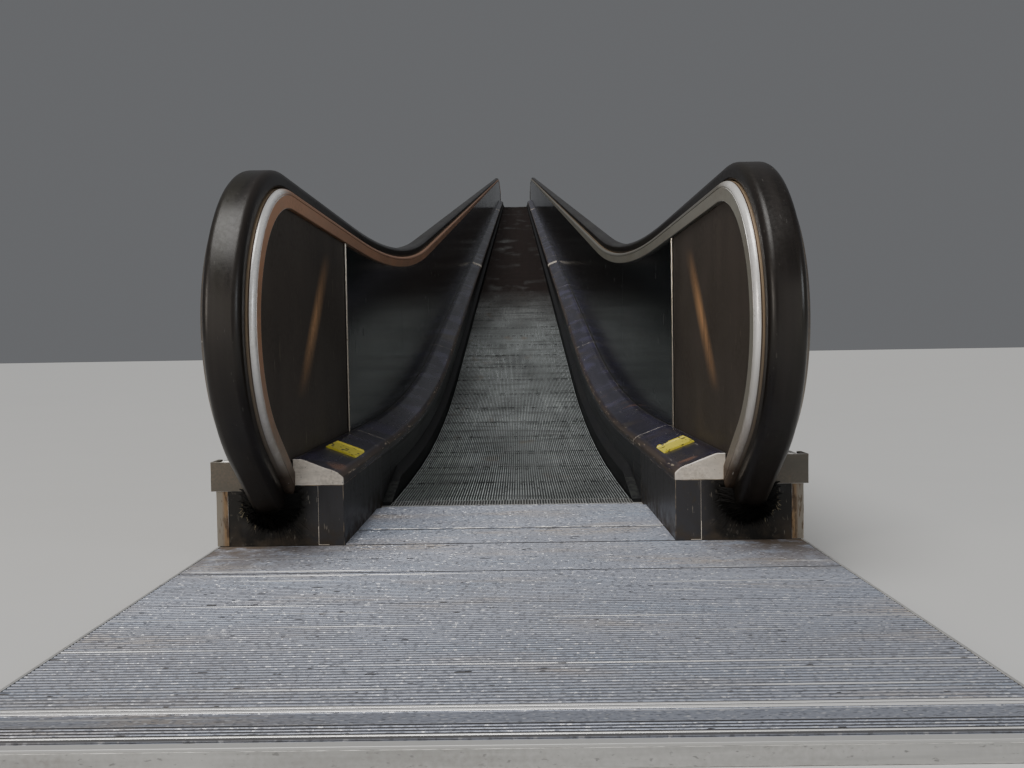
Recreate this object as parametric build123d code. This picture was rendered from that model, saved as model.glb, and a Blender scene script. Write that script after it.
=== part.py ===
from build123d import *
from math import cos, pi, radians, sin, tan
import os

os.makedirs("parts", exist_ok=True)

# An inclined moving walkway for people, whole from its lower to its upper landing.
# X runs across it, +Y along it and uphill, +Z up. The origin is on the ground in the middle.
# "Station" is the distance along the walking surface from the front edge of the lower landing,
# and "height" is the distance square to the walking surface. All sizes are in millimetres.

# Route of the walking surface
incline_angle = 12.0
bend_run = 26800.0
bend_radius = 13100.0
comb_to_bend = 1790.0
landing_length = 1800.0
walk_height = 40.0

# Landing
half_width = 770.0
frame_rim = 6.0
plate_thickness = 12.0
plate_seam = 2.0
nosing_length = 83.0
nosing_slope = 14.0
threshold_gap = 4.0
threshold_strip = 12.0
middle_plate_length = 250.0
inner_plate_length = 480.0
comb_plate_length = 370.0
bearer_width = 60.0
comb_length = 80.0
comb_gap = 2.0

# Pallet band and combs
pallet_width = 800.0
pallet_pitch_nominal = 400.0
pallet_thickness = 26.0
pallet_gap = 4.0
rib_count = 88
rib_share = 0.36
groove_depth = 10.0
tooth_share = 0.38
tooth_length = 50.0
tooth_rise = 2.5
tooth_tip_depth = 5.0
tooth_tip_thickness = 3.0
rub_clearance = 0.3

# Skirts and decks
skirt_face = 436.0
skirt_thickness = 10.0
skirt_lip = 18.5
guard_gap = 4.0
guard_height = 55.0
guard_top_rise = 25.0
deck_height = 227.5
deck_sheet = 4.0
inner_deck_flat = 26.0
inner_deck_nose = 16.0
inner_deck_nose_drop = 14.0
inner_deck_slope_drop = 36.0
outer_deck_flat = 40.0
outer_deck_round = 22.0
outer_deck_side = 82.5
cladding_thickness = 10.0
cladding_joint = 4.0
length_nominal = 3100.0
length_joint = 1.5
curve_overrun = 215.0

# Balustrade
balustrade_centre = 625.0
balustrade_half = 52.0
panel_sheet = 8.0
panel_nominal = 1550.0
panel_joint = 4.0
base_web_drop = 127.5
base_sheet = 6.0
post_width = 16.0
stud_width = 30.0
strip_proud = 4.0
base_to_post = 770.0

# Handrail and its guide
handrail_height = 985.0
handrail_width = 88.0
handrail_depth = 45.0
handrail_shoulder = 20.0
handrail_wall = 13.0
handrail_throat = 24.0
handrail_side_wall = 11.0
lip_thickness = 10.0
guide_gap = 3.0
cap_half = 57.0
cap_top_half = 40.0
cap_gap = 2.0
cap_round_depth = 15.0
cap_depth = 98.0
newel_radius = 420.0
newel_turn = 141.0
base_to_newel = 56.0
return_radius = 200.0
return_height = 20.0

# Newel base
comb_to_base = 640.0
base_sheet_front = 6.0
inlet_radius = 74.0
inlet_rim = 14.0
inlet_ring_depth = 10.0
inlet_ring_wall = 14.0
end_cap_thickness = 6.0

# Truss housing and what it stands on
truss_depth = 1050.0
lower_joint_station = 9000.0
upper_joint_from_end = 9000.0
end_setback = 150.0
bearing_leg = 140.0
bearing_thickness = 16.0
column_size = 200.0
column_wall = 12.0
column_spread = 1120.0
head_beam_depth = 260.0
brace_width = 70.0
brace_thickness = 12.0
foot_plate = 380.0
foot_thickness = 25.0
foot_hole_spacing = 280.0
foot_hole_radius = 13.0
middle_support_from_bend = 13400.0
upper_support_from_end = 2400.0

# Route worked out from the values above
angle = radians(incline_angle)
bend_tangent = bend_radius * tan(angle / 2)
curve_length = bend_radius * angle
slope_length = bend_run / cos(angle) - 2 * bend_tangent
level_end = landing_length + comb_to_bend - bend_tangent
slope_start = level_end + curve_length
slope_end = slope_start + slope_length
upper_level_start = slope_end + curve_length
route_length = upper_level_start + level_end
total_length = 2 * (landing_length + comb_to_bend) + bend_run
rise = bend_run * tan(angle)
route_breaks = [level_end, slope_start, slope_end, upper_level_start]


def walk_at(station):
    """Place (y, z) and tilt of the walking surface at a station."""
    y = -total_length / 2
    z = walk_height
    if station <= level_end:
        return y + station, z, 0.0
    y = y + level_end
    if station <= slope_start:
        turned = (station - level_end) / bend_radius
        return y + bend_radius * sin(turned), z + bend_radius * (1 - cos(turned)), turned
    y = y + bend_radius * sin(angle)
    z = z + bend_radius * (1 - cos(angle))
    if station <= slope_end:
        along = station - slope_start
        return y + along * cos(angle), z + along * sin(angle), angle
    y = y + slope_length * cos(angle)
    z = z + slope_length * sin(angle)
    if station <= upper_level_start:
        left = angle - (station - slope_end) / bend_radius
        return (
            y + bend_radius * (sin(angle) - sin(left)),
            z + bend_radius * (cos(left) - cos(angle)),
            left,
        )
    y = y + bend_radius * sin(angle)
    z = z + bend_radius * (1 - cos(angle))
    return y + station - upper_level_start, z, 0.0


def point(station, height):
    """A point in the middle plane, square to the walking surface at a station."""
    y, z, tilt = walk_at(station)
    return Vector(0, y - height * sin(tilt), z + height * cos(tilt))


def run_along(height, start, end):
    """Straight runs and arcs at one height above the walking surface."""
    low, high = min(start, end), max(start, end)
    stops = [low] + [s for s in route_breaks if low < s < high] + [high]
    edges = []
    for first, last in zip(stops[:-1], stops[1:]):
        middle = (first + last) / 2
        if abs(walk_at(first)[2] - walk_at(last)[2]) < 1e-9:
            edges.append(Line(point(first, height), point(last, height)))
        else:
            edges.append(
                ThreePointArc(point(first, height), point(middle, height), point(last, height))
            )
    return edges


def side_face(edges):
    """A face in the middle plane from a closed chain of edges."""
    return Face(Wire(edges))


def across(face, x_from, x_to):
    """A face of the middle plane given its thickness across the walkway."""
    return Pos(x_from, 0, 0) * extrude(face, amount=x_to - x_from, dir=(1, 0, 0))


def band(x_from, x_to, low, high, start, end):
    """A strip that follows the walking surface between two heights and two stations."""
    bottom = run_along(low, start, end)
    top = run_along(high, start, end)
    ends = [
        Line(point(start, low), point(start, high)),
        Line(point(end, low), point(end, high)),
    ]
    return across(side_face(bottom + top + ends), x_from, x_to)


def section_at(station, height, face):
    """A section drawn in (x, height), stood square on the route."""
    y, z, tilt = walk_at(station)
    origin = point(station, height)
    return Plane(origin, x_dir=(1, 0, 0), z_dir=(0, -cos(tilt), -sin(tilt))) * face


def carried(face, start, end):
    """A section in (x, height) carried along the walking surface."""
    return sweep(section_at(start, 0, face), path=Wire(run_along(0, start, end)))


def lengths(start, end):
    """Jointed lengths between two stations; a curved length runs a little past its bend."""
    low = slope_start + curve_overrun
    high = slope_end - curve_overrun
    count = round((high - low) / length_nominal)
    straight = [low + n * (high - low) / count for n in range(count + 1)]
    joints = [level_end - curve_overrun, *straight, upper_level_start + curve_overrun]
    half = length_joint / 2
    starts = [start] + [joint + half for joint in joints]
    ends = [joint - half for joint in joints] + [end]
    return list(zip(starts, ends))


def moulding(outline, start, end):
    """A moulding in jointed lengths from its outline in (x, height)."""
    face = make_face(outline)
    return Compound([carried(face, first, last) for first, last in lengths(start, end)])


def left_of(part):
    return mirror(part, Plane.YZ)


def upper_of(part):
    """The same end piece at the upper landing."""
    return Pos(0, 0, rise) * mirror(part, Plane.XZ)


def save(name, part):
    solids = part.solids()
    shape = solids[0] if len(solids) == 1 else Compound(solids)
    export_step(shape, os.path.join("parts", name + ".step"))


def save_pair(name, part, other):
    """Two like pieces in one file: at both ends, or on both sides."""
    save(name, Compound([part, other(part)]))


def save_set(name, part):
    """Four like pieces in one file."""
    save_pair(name, Compound([part, left_of(part)]), upper_of)


def save_both_sides(name, part):
    save(name + "_right", part)
    save(name + "_left", left_of(part))


def save_both_ends(name, part):
    save(name + "_lower", part)
    save(name + "_upper", upper_of(part))


def save_four(name, part):
    save_both_ends(name + "_right", part)
    save_both_ends(name + "_left", left_of(part))


def block(x_from, x_to, station_from, station_to, height_from, height_to):
    """A box on the level lower landing."""
    size = (x_to - x_from, station_to - station_from, height_to - height_from)
    middle = Pos(
        (x_from + x_to) / 2,
        (station_from + station_to) / 2 - total_length / 2,
        (height_from + height_to) / 2 + walk_height,
    )
    return middle * Box(*size)


# Landing frame, threshold and floor plates
base_front_station = landing_length - comb_to_base
newel_centre_station = base_front_station + base_to_newel
plate_bottom = -plate_thickness
ground = -walk_height
first_plate = nosing_length + threshold_gap + threshold_strip
comb_start = landing_length - comb_length
comb_plate_start = comb_start - comb_plate_length
inner_plate_start = comb_plate_start - inner_plate_length
middle_plate_start = inner_plate_start - middle_plate_length
plate_seams = [first_plate, middle_plate_start, inner_plate_start, comb_plate_start]
landing_inner_edge = skirt_face - plate_seam
pallet_start = landing_length + comb_gap
base_back_station = pallet_start


def landing_frame():
    """Bearers under every seam, in a rim that comes up flush round the plates."""
    frame = block(-half_width, half_width, 0, pallet_start, ground, plate_bottom)
    inner = half_width - bearer_width
    bearers = [first_plate] + plate_seams[1:] + [comb_start]
    for before, after in zip(bearers[:-1], bearers[1:]):
        pocket_start = before + bearer_width / 2
        pocket_end = after - bearer_width / 2
        if pocket_end > pocket_start + bearer_width:
            frame -= block(-inner, inner, pocket_start, pocket_end, ground, plate_bottom)
    for side in (-1, 1):
        edges = sorted((side * half_width, side * (half_width - frame_rim)))
        frame += block(edges[0], edges[1], 0, base_front_station, plate_bottom, 0)
    return frame


def threshold():
    """A ribbed nosing that slopes to the floor, and a plain strip behind an open gap."""
    rim_inside = half_width - frame_rim - plate_seam
    y_front = -total_length / 2
    profile = Polyline(
        (0, y_front, walk_height + plate_bottom),
        (0, y_front, walk_height + plate_bottom / 2),
        (0, y_front + nosing_slope, walk_height),
        (0, y_front + nosing_length, walk_height),
        (0, y_front + nosing_length, walk_height + plate_bottom),
        close=True,
    )
    nosing = across(side_face(profile.edges()), -rim_inside, rim_inside)
    strip_start = nosing_length + threshold_gap
    strip_end = strip_start + threshold_strip - plate_seam
    return nosing + block(-rim_inside, rim_inside, strip_start, strip_end, plate_bottom, 0)


def floor_plates():
    """Three plates; the last one is cut back round the newel bases."""
    rim_inside = half_width - frame_rim - plate_seam
    plates = []
    for start, end in zip(plate_seams[:-1], plate_seams[1:]):
        plate = block(-rim_inside, rim_inside, start, end - plate_seam, plate_bottom, 0)
        if end > base_front_station:
            for side in (-1, 1):
                edges = sorted((side * landing_inner_edge, side * (half_width + plate_seam)))
                plate -= block(
                    edges[0], edges[1], base_front_station - plate_seam, end, plate_bottom, 0
                )
        plates.append(plate)
    return Compound(plates)


def comb_plate():
    """The plate in front of the combs, with its two far corners cut off."""
    plate = block(
        -landing_inner_edge, landing_inner_edge, plate_seams[-1], comb_start - plate_seam,
        plate_bottom, 0,
    )
    corners = plate.edges().filter_by(Axis.Z).group_by(Axis.Y)[-1]
    return chamfer(corners, landing_inner_edge - pallet_width / 2)


rib_pitch = pallet_width / rib_count
rib_width = rib_pitch * rib_share
tooth_width = rib_pitch * tooth_share


def comb():
    """A comb bar whose teeth run down into the grooves of the pallets."""
    bar = block(
        -pallet_width / 2, pallet_width / 2, comb_start, landing_length, plate_bottom, 0
    )
    root = landing_length - total_length / 2
    tip = root + tooth_length
    side = Polyline(
        (0, root - tooth_length, walk_height),
        (0, root, walk_height + tooth_rise),
        (0, tip, walk_height - tooth_tip_depth),
        (0, tip, walk_height - tooth_tip_depth - tooth_tip_thickness),
        (0, root, walk_height - tooth_tip_depth - tooth_tip_thickness),
        (0, root - tooth_length, walk_height - tooth_tip_depth),
        close=True,
    )
    tooth = across(side_face(side.edges()), -tooth_width / 2, tooth_width / 2)
    first = -pallet_width / 2 + rib_pitch
    teeth = [Pos(first + n * rib_pitch, 0, 0) * tooth for n in range(rib_count - 1)]
    return bar + teeth


# Pallet band
band_length = route_length - 2 * pallet_start
pallet_count = round(band_length / pallet_pitch_nominal)
pallet_pitch = band_length / pallet_count
bed_height = -pallet_thickness - rub_clearance


def pallet_lift(middle):
    """How far a flat pallet has to stand up to clear its curved bed."""
    y, z, tilt = walk_at(middle)
    lifts = [0.0]
    for end in (middle - pallet_pitch / 2, middle + pallet_pitch / 2):
        end_y, end_z, _ = walk_at(end)
        lifts.append((end_z - z) * cos(tilt) - (end_y - y) * sin(tilt))
    return max(lifts)


def on_route(station, height, part):
    """Carry a part drawn level at the origin to its place on the route."""
    y, z, tilt = walk_at(station)
    place = point(station, height)
    return Pos(place.X, place.Y, place.Z) * Rot(tilt * 180 / pi, 0, 0) * part


def pallets():
    plate = Pos(0, 0, -pallet_thickness / 2) * Box(
        pallet_width, pallet_pitch - pallet_gap, pallet_thickness
    )
    stations = [pallet_start + (n + 0.5) * pallet_pitch for n in range(1, pallet_count - 1)]
    return Compound([on_route(s, pallet_lift(s), plate) for s in stations])


def comb_pallet():
    """The pallet under a comb, with its ribs and grooves."""
    plate = block(
        -pallet_width / 2, pallet_width / 2, pallet_start,
        pallet_start + pallet_pitch - pallet_gap, -pallet_thickness, -groove_depth,
    )
    rib = block(
        -rib_width / 2, rib_width / 2, pallet_start,
        pallet_start + pallet_pitch - pallet_gap, -groove_depth, 0,
    )
    first = -pallet_width / 2 + rib_pitch / 2
    return plate + [Pos(first + n * rib_pitch, 0, 0) * rib for n in range(rib_count)]


# Skirts and decks, drawn on the right-hand side
slope_end_height = deck_height - inner_deck_slope_drop
nose_height = slope_end_height - inner_deck_nose_drop
skirt_height = nose_height - skirt_lip
outer_deck_lip = deck_height - outer_deck_side
skirt_start = base_back_station
skirt_end = route_length - skirt_start
guard_start = base_back_station
guard_end = route_length - guard_start
deck_start = base_front_station + end_cap_thickness
deck_end = route_length - deck_start
panel_face = balustrade_centre - balustrade_half
outer_panel_face = balustrade_centre + balustrade_half
inner_deck_edge = panel_face - rub_clearance
outer_deck_edge = outer_panel_face + rub_clearance
cap_inner_edge = balustrade_centre - cap_half - rub_clearance
cap_outer_edge = balustrade_centre + cap_half + rub_clearance


roll_top = deck_height - deck_sheet
roll_cut = outer_deck_round * (1 - cos(pi / 4))
outer_deck_roll = [
    (half_width - outer_deck_round, roll_top), (half_width - roll_cut, roll_top - roll_cut),
    (half_width, roll_top - outer_deck_round), (half_width, outer_deck_lip),
]


def skirt():
    back = skirt_face + skirt_thickness
    return Compound([
        band(skirt_face, back, bed_height, skirt_height, start, end)
        for start, end in lengths(skirt_start, skirt_end)
    ])


def skirt_guard():
    """The low strip beside the pallets, with a sloping top."""
    inner = pallet_width / 2 + guard_gap
    outline = Polyline(
        (inner, bed_height), (skirt_face, bed_height),
        (skirt_face, guard_height + guard_top_rise), (inner, guard_height),
        close=True,
    )
    return moulding(outline, guard_start, guard_end)


def inner_deck():
    """A bent sheet: a flat at the panels, a long slope, and a nose over the skirt."""
    flat_end = inner_deck_edge - inner_deck_flat
    slope_end_x = skirt_face + inner_deck_nose
    outline = Polyline(
        (inner_deck_edge, deck_height), (flat_end, deck_height),
        (slope_end_x, slope_end_height), (skirt_face, nose_height),
        (skirt_face, skirt_height), (skirt_face + deck_sheet, skirt_height),
        (skirt_face + deck_sheet, nose_height - deck_sheet / 2),
        (slope_end_x + deck_sheet / 2, slope_end_height - deck_sheet),
        (flat_end + deck_sheet / 2, deck_height - deck_sheet),
        (inner_deck_edge, deck_height - deck_sheet),
        close=True,
    )
    return moulding(outline, deck_start, deck_end)


def outer_deck():
    """A flat beside the panels that rolls over to a lip on the cladding."""
    flat_end = outer_deck_edge + outer_deck_flat
    inside = half_width - deck_sheet
    outer_points = [(outer_deck_edge, deck_height), (flat_end, deck_height)] + outer_deck_roll
    inner_points = [
        (inside, outer_deck_lip), (inside, outer_deck_roll[-2][1]),
        (outer_deck_roll[1][0] - deck_sheet / 2, outer_deck_roll[1][1] - deck_sheet),
        (outer_deck_roll[0][0], outer_deck_roll[0][1] - deck_sheet),
        (flat_end, deck_height - deck_sheet), (outer_deck_edge, deck_height - deck_sheet),
    ]
    return moulding(Polyline(*outer_points, *inner_points, close=True), deck_start, deck_end)


def end_caps():
    """The bright plates that close the front ends of both decks."""
    front = base_front_station - total_length / 2
    inner = Polyline(
        (skirt_face, front, skirt_height), (skirt_face, front, nose_height),
        (skirt_face + inner_deck_nose, front, slope_end_height),
        (inner_deck_edge - inner_deck_flat, front, deck_height),
        (cap_inner_edge, front, deck_height), (cap_inner_edge, front, skirt_height),
        close=True,
    )
    outer_top = [(cap_outer_edge, deck_height), (outer_deck_edge + outer_deck_flat, deck_height)]
    outer = Polyline(
        (cap_outer_edge, front, skirt_height),
        *[(x, front, height) for x, height in outer_top + outer_deck_roll[:-1]],
        (half_width, front, skirt_height),
        close=True,
    )
    caps = [
        extrude(Face(Wire(line.edges())), amount=end_cap_thickness, dir=(0, 1, 0))
        for line in (inner, outer)
    ]
    return Pos(0, 0, walk_height) * Compound(caps)


# Housing, cladding and supports
above_ground = Pos(0, 0, truss_depth + rise) * Box(
    4 * half_width, 2 * total_length, 2 * (truss_depth + rise)
)
truss_half = half_width - cladding_thickness
upper_joint_station = route_length - upper_joint_from_end
truss_end = route_length - pallet_start


def truss_part(start, end):
    """Closed housing under the band, cut off at the ground."""
    return band(-truss_half, truss_half, -truss_depth, bed_height, start, end) & above_ground


def truss_upper():
    """The last length also carries the upper landing frame."""
    head = band(
        -truss_half, truss_half, -truss_depth, ground, truss_end, route_length - end_setback
    )
    return truss_part(upper_joint_station, truss_end) + head


def cladding():
    """Side sheets from the outer deck to the foot of the housing, in jointed lengths."""
    first = base_back_station
    last = route_length - first
    count = round((last - first) / (2 * panel_nominal))
    length = (last - first) / count
    sheets = []
    for n in range(count):
        start = first + n * length
        sheets.append(
            band(
                truss_half, half_width, -truss_depth, outer_deck_lip,
                start, start + length - cladding_joint,
            ) & above_ground
        )
    sheets.append(
        band(
            truss_half, half_width, -truss_depth, ground - rub_clearance,
            last, route_length - end_setback,
        )
    )
    return Compound(sheets)


def bearing_angle():
    """The angle across the end of the housing that lies on the edge of a building floor."""
    face_station = route_length - end_setback
    height = ground - rub_clearance
    upright = band(
        -truss_half, truss_half, height - bearing_leg, height,
        face_station, face_station + bearing_thickness,
    )
    flange = band(
        -truss_half, truss_half, height - bearing_thickness, height,
        face_station, face_station + bearing_leg,
    )
    return upright + flange


def foot(x):
    """A base plate with four anchor holes."""
    plate = Pos(x, 0, foot_thickness / 2) * Box(foot_plate, foot_plate, foot_thickness)
    holes = GridLocations(foot_hole_spacing, foot_hole_spacing, 2, 2)
    for hole in holes:
        plate -= Pos(x, 0, foot_thickness / 2) * hole * Cylinder(foot_hole_radius, foot_thickness)
    return plate


def support(station):
    """A braced steel portal from the ground to the underside of the housing."""
    under = point(station, -truss_depth)
    slope = walk_at(station)[2]
    beam_low = under.Z - head_beam_depth
    reach = column_size * tan(slope) + head_beam_depth
    column_x = column_spread / 2
    portal = Pos(0, 0, beam_low + reach / 2) * Box(
        column_spread + column_size, column_size, reach
    )
    inner = column_size - 2 * column_wall
    for side in (-1, 1):
        x = side * column_x
        height = beam_low - foot_thickness
        column = Box(column_size, column_size, height) - Box(inner, inner, height)
        portal += Pos(x, 0, foot_thickness + height / 2) * column
        portal += foot(x)
    clear_width = column_spread - column_size
    clear_height = beam_low - foot_thickness
    brace_length = (clear_width**2 + clear_height**2) ** 0.5 + brace_width
    lean = Vector(clear_width, 0, 0).get_angle(Vector(clear_width, 0, clear_height))
    window = Pos(0, 0, foot_thickness + clear_height / 2) * Box(
        clear_width, column_size, clear_height
    )
    for side in (-1, 1):
        bar = Pos(0, 0, foot_thickness + clear_height / 2) * Rot(0, side * lean, 0) * Box(
            brace_length, brace_thickness, brace_width
        )
        portal += bar & window
    portal = Pos(0, under.Y, 0) * portal
    cutter = band(
        -column_spread, column_spread, -truss_depth, truss_depth,
        station - truss_depth, station + truss_depth,
    )
    return portal - cutter


# Balustrade
panel_top = handrail_height - cap_depth
web_low = deck_height - base_web_drop
web_top = web_low + base_sheet
post_station = base_front_station + base_to_post
glass_start = post_station + post_width
glass_end = route_length - glass_start
panel_count = round((glass_end - glass_start) / panel_nominal)
panel_pitch = (glass_end - glass_start) / panel_count


def balustrade_base():
    """A channel, open below, that carries the panels over the returning handrail."""
    outer_half = balustrade_half + base_sheet
    bare_half = outer_half - base_sheet
    left, right = balustrade_centre - outer_half, balustrade_centre + outer_half
    inner_left, inner_right = balustrade_centre - bare_half, balustrade_centre + bare_half
    outline = Polyline(
        (left, bed_height), (left, web_top), (right, web_top), (right, bed_height),
        (inner_right, bed_height), (inner_right, web_low),
        (inner_left, web_low), (inner_left, bed_height),
        close=True,
    )
    return moulding(outline, base_back_station, route_length - base_back_station)


def panels(x_from, x_to):
    """Sheets between the base channel and the guide, with an open joint at each stud."""
    sheets = []
    for n in range(panel_count):
        start = glass_start + n * panel_pitch + panel_joint / 2
        end = glass_start + (n + 1) * panel_pitch - panel_joint / 2
        sheets.append(band(x_from, x_to, web_top, panel_top, start, end))
    return Compound(sheets)


def posts():
    """Studs between the two sheets, and a cover strip at each newel panel."""
    inner, outer = panel_face + panel_sheet, outer_panel_face - panel_sheet
    studs = []
    for n in range(1, panel_count):
        middle = glass_start + n * panel_pitch
        studs.append(
            band(
                inner, outer, web_top, panel_top, middle - stud_width / 2, middle + stud_width / 2
            )
        )
    for start in (post_station, route_length - post_station - post_width):
        core = band(panel_face, outer_panel_face, web_top, panel_top, start, start + post_width)
        strips = band(
            panel_face - strip_proud, outer_panel_face + strip_proud,
            deck_height + rub_clearance, panel_top, start, start + post_width,
        )
        studs.append(core + strips)
    return Compound(studs)


# Newel: the handrail's outer face follows these points round the lower end
turn = radians(newel_turn)
dive = pi - turn
newel_centre_height = handrail_height - newel_radius


def newel_point(offset, turned):
    """A point on the newel's round, inside the handrail's outer face by the offset."""
    radius = newel_radius - offset
    return Vector(
        0,
        newel_centre_station - total_length / 2 - radius * sin(turned),
        walk_height + newel_centre_height + radius * cos(turned),
    )


arc_end_height = newel_centre_height - newel_radius * cos(dive)
dive_length = (
    arc_end_height - return_height - return_radius * (1 - cos(dive))
) / sin(dive)


def dive_point(offset, along):
    """A point on the straight run from the newel's round down to the inlet."""
    start = newel_point(offset, turn)
    return start + Vector(0, along * cos(dive), -along * sin(dive))


def return_point(turned):
    """A point on the bend inside the newel base, where the handrail turns level."""
    start = dive_point(0, dive_length)
    angle_left = dive - turned
    return start + Vector(
        0,
        return_radius * (sin(dive) - sin(angle_left)),
        -return_radius * (cos(angle_left) - cos(dive)),
    )


return_start = return_point(dive).Y + total_length / 2


def lower_turn():
    """Edges of the handrail's outer face from the level run down to the inlet."""
    return [
        ThreePointArc(newel_point(0, 0), newel_point(0, turn / 2), newel_point(0, turn)),
        Line(newel_point(0, turn), dive_point(0, dive_length)),
    ]


def upper_turn(edges):
    return [(Pos(0, 0, rise) * mirror(edge, Plane.XZ)).edge() for edge in edges]


def both_halves(points):
    """A closed outline from its right-hand points, listed from the top down."""
    mirrored = [(-x, height) for x, height in reversed(points)]
    return make_face(Polyline(*points, *mirrored, close=True))


def handrail_section():
    """A C-shaped belt: rounded shoulders, turned lips and a slot for the guide."""
    half = handrail_width / 2
    inside = half - handrail_side_wall
    shoulder_cut = handrail_shoulder * (1 - cos(pi / 4))
    slot_low = lip_thickness - handrail_depth
    outer = [
        (half - handrail_shoulder, 0), (half - shoulder_cut, -shoulder_cut),
        (half, -handrail_shoulder), (half, -handrail_depth),
        (handrail_throat, -handrail_depth),
    ]
    slot = [(handrail_throat, slot_low), (inside, slot_low), (inside, -handrail_wall)]
    return both_halves(outer + slot)


def cap_section():
    """The rail that the handrail runs on, with its bright cap below."""
    rail_half = handrail_throat - guide_gap
    rail_top = -handrail_wall - rub_clearance
    cap_top = -handrail_depth - cap_gap
    return both_halves([
        (rail_half, rail_top), (rail_half, cap_top), (cap_top_half, cap_top),
        (cap_half, cap_top - cap_round_depth), (cap_half, -cap_depth),
    ])


def sweep_belt(face, edges, start, heading):
    """A section, drawn with its top outwards, carried along the handrail's outer face."""
    plane = Plane(start, x_dir=(1, 0, 0), z_dir=heading)
    return Pos(balustrade_centre, 0, 0) * sweep(plane * face, path=Wire(edges))


def handrail():
    """One endless belt: over the top, round both newels and back below the decks."""
    top = run_along(handrail_height, newel_centre_station, route_length - newel_centre_station)
    below = run_along(return_height, return_start, route_length - return_start)
    turn_in = ThreePointArc(return_point(0), return_point(dive / 2), return_point(dive))
    ends = lower_turn() + [turn_in]
    edges = top + ends + upper_turn(ends) + below
    return sweep_belt(
        handrail_section(), edges, point(newel_centre_station, handrail_height), (0, -1, 0)
    )


def guide():
    """The capped guide, from inlet to inlet, in the same lengths as the decks."""
    section = cap_section()
    runs = lengths(newel_centre_station, route_length - newel_centre_station)
    turned = sweep_belt(
        section, lower_turn() + run_along(handrail_height, *runs[0]),
        dive_point(0, dive_length), (0, cos(dive), -sin(dive)),
    )
    above = Pos(balustrade_centre, handrail_height) * section
    straight = [carried(above, start, end) for start, end in runs[1:-1]]
    return Compound([turned, *straight, upper_of(turned)])


def newel_panel():
    """The closed end of the balustrade, rounded under the guide."""
    reach = (
        newel_centre_height - (newel_radius - cap_depth) * cos(dive) - web_top
    ) / sin(dive)
    low = dive_point(cap_depth, reach)
    post_y = post_station - total_length / 2
    outline = [
        Line((0, post_y, walk_height + panel_top), newel_point(cap_depth, 0)),
        ThreePointArc(
            newel_point(cap_depth, 0), newel_point(cap_depth, turn / 2),
            newel_point(cap_depth, turn),
        ),
        Line(newel_point(cap_depth, turn), low),
        Line(low, (0, post_y, walk_height + web_top)),
        Line((0, post_y, walk_height + web_top), (0, post_y, walk_height + panel_top)),
    ]
    return across(side_face(outline), panel_face, outer_panel_face)


# Newel base
inlet_height = (
    arc_end_height
    - (base_front_station - newel_centre_station + newel_radius * sin(turn)) * tan(dive)
    + handrail_depth / cos(dive) / 2
)


def newel_base():
    """Front and side walls of the box where the handrail goes in."""
    shell = block(
        skirt_face, half_width, base_front_station, base_back_station, plate_bottom, skirt_height
    )
    shell -= block(
        skirt_face + skirt_thickness, truss_half, base_front_station + base_sheet_front,
        base_back_station, plate_bottom, skirt_height,
    )
    shell -= block(
        truss_half, half_width, base_front_station + base_sheet_front, base_back_station,
        outer_deck_lip, skirt_height,
    )
    front_middle = Pos(
        balustrade_centre, base_front_station - total_length / 2, walk_height + inlet_height
    )
    shell -= front_middle * Rot(90, 0, 0) * Cylinder(inlet_radius, 4 * base_sheet_front)
    shell -= block(
        balustrade_centre - cap_half - guide_gap, balustrade_centre + cap_half + guide_gap,
        base_front_station - base_sheet_front, base_front_station + 2 * base_sheet_front,
        inlet_height, skirt_height,
    )
    return shell


def inlet_ring():
    """The brush holder round the inlet, open above where the guide comes in."""
    outer = inlet_radius + inlet_rim
    ring = Circle(outer) - Circle(inlet_radius - inlet_ring_wall)
    opening = Pos(0, outer) * Rectangle(2 * (cap_half + guide_gap), 2 * outer)
    above = Pos(0, skirt_height - inlet_height + outer) * Rectangle(4 * outer, 2 * outer)
    flat = ring - opening - above
    plane = Plane(
        (balustrade_centre, base_front_station - total_length / 2, walk_height + inlet_height),
        x_dir=(1, 0, 0), z_dir=(0, -1, 0),
    )
    return extrude(plane * flat, amount=inlet_ring_depth)


save_pair("landing_frames", landing_frame(), upper_of)
save_pair("thresholds", threshold(), upper_of)
save_both_ends("floor_plates", floor_plates())
save_both_ends("comb_plate", comb_plate())
save_both_ends("comb", comb())
save("pallets", pallets())
save_pair("comb_pallets", comb_pallet(), upper_of)
save_both_sides("skirt", skirt())
save_pair("skirt_guards", skirt_guard(), left_of)
save_both_sides("inner_deck", inner_deck())
save_both_sides("outer_deck", outer_deck())
save_set("deck_end_caps", end_caps())
save("truss_lower", truss_part(pallet_start, lower_joint_station))
save("truss_middle", truss_part(lower_joint_station, upper_joint_station))
save("truss_upper", truss_upper())
save("bearing_angle", bearing_angle())
save("support_middle", support(landing_length + comb_to_bend + middle_support_from_bend))
save("support_upper", support(route_length - upper_support_from_end))
save_both_sides("side_cladding", cladding())
save_pair("balustrade_bases", balustrade_base(), left_of)
save_both_sides("inner_panels", panels(panel_face, panel_face + panel_sheet))
save_both_sides("outer_panels", panels(outer_panel_face - panel_sheet, outer_panel_face))
save_pair("panel_posts", posts(), left_of)
save_both_sides("handrail", handrail())
save_both_sides("handrail_guide", guide())
save_four("newel_panel", newel_panel())
save_four("newel_base", newel_base())
save_set("inlet_rings", inlet_ring())
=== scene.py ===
import random
from math import atan2, cos, pi, radians, sin, tan

import bmesh
import bpy
from bpy.props import FloatProperty, FloatVectorProperty, IntProperty, PointerProperty
from mathutils import Matrix, Vector


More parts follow.
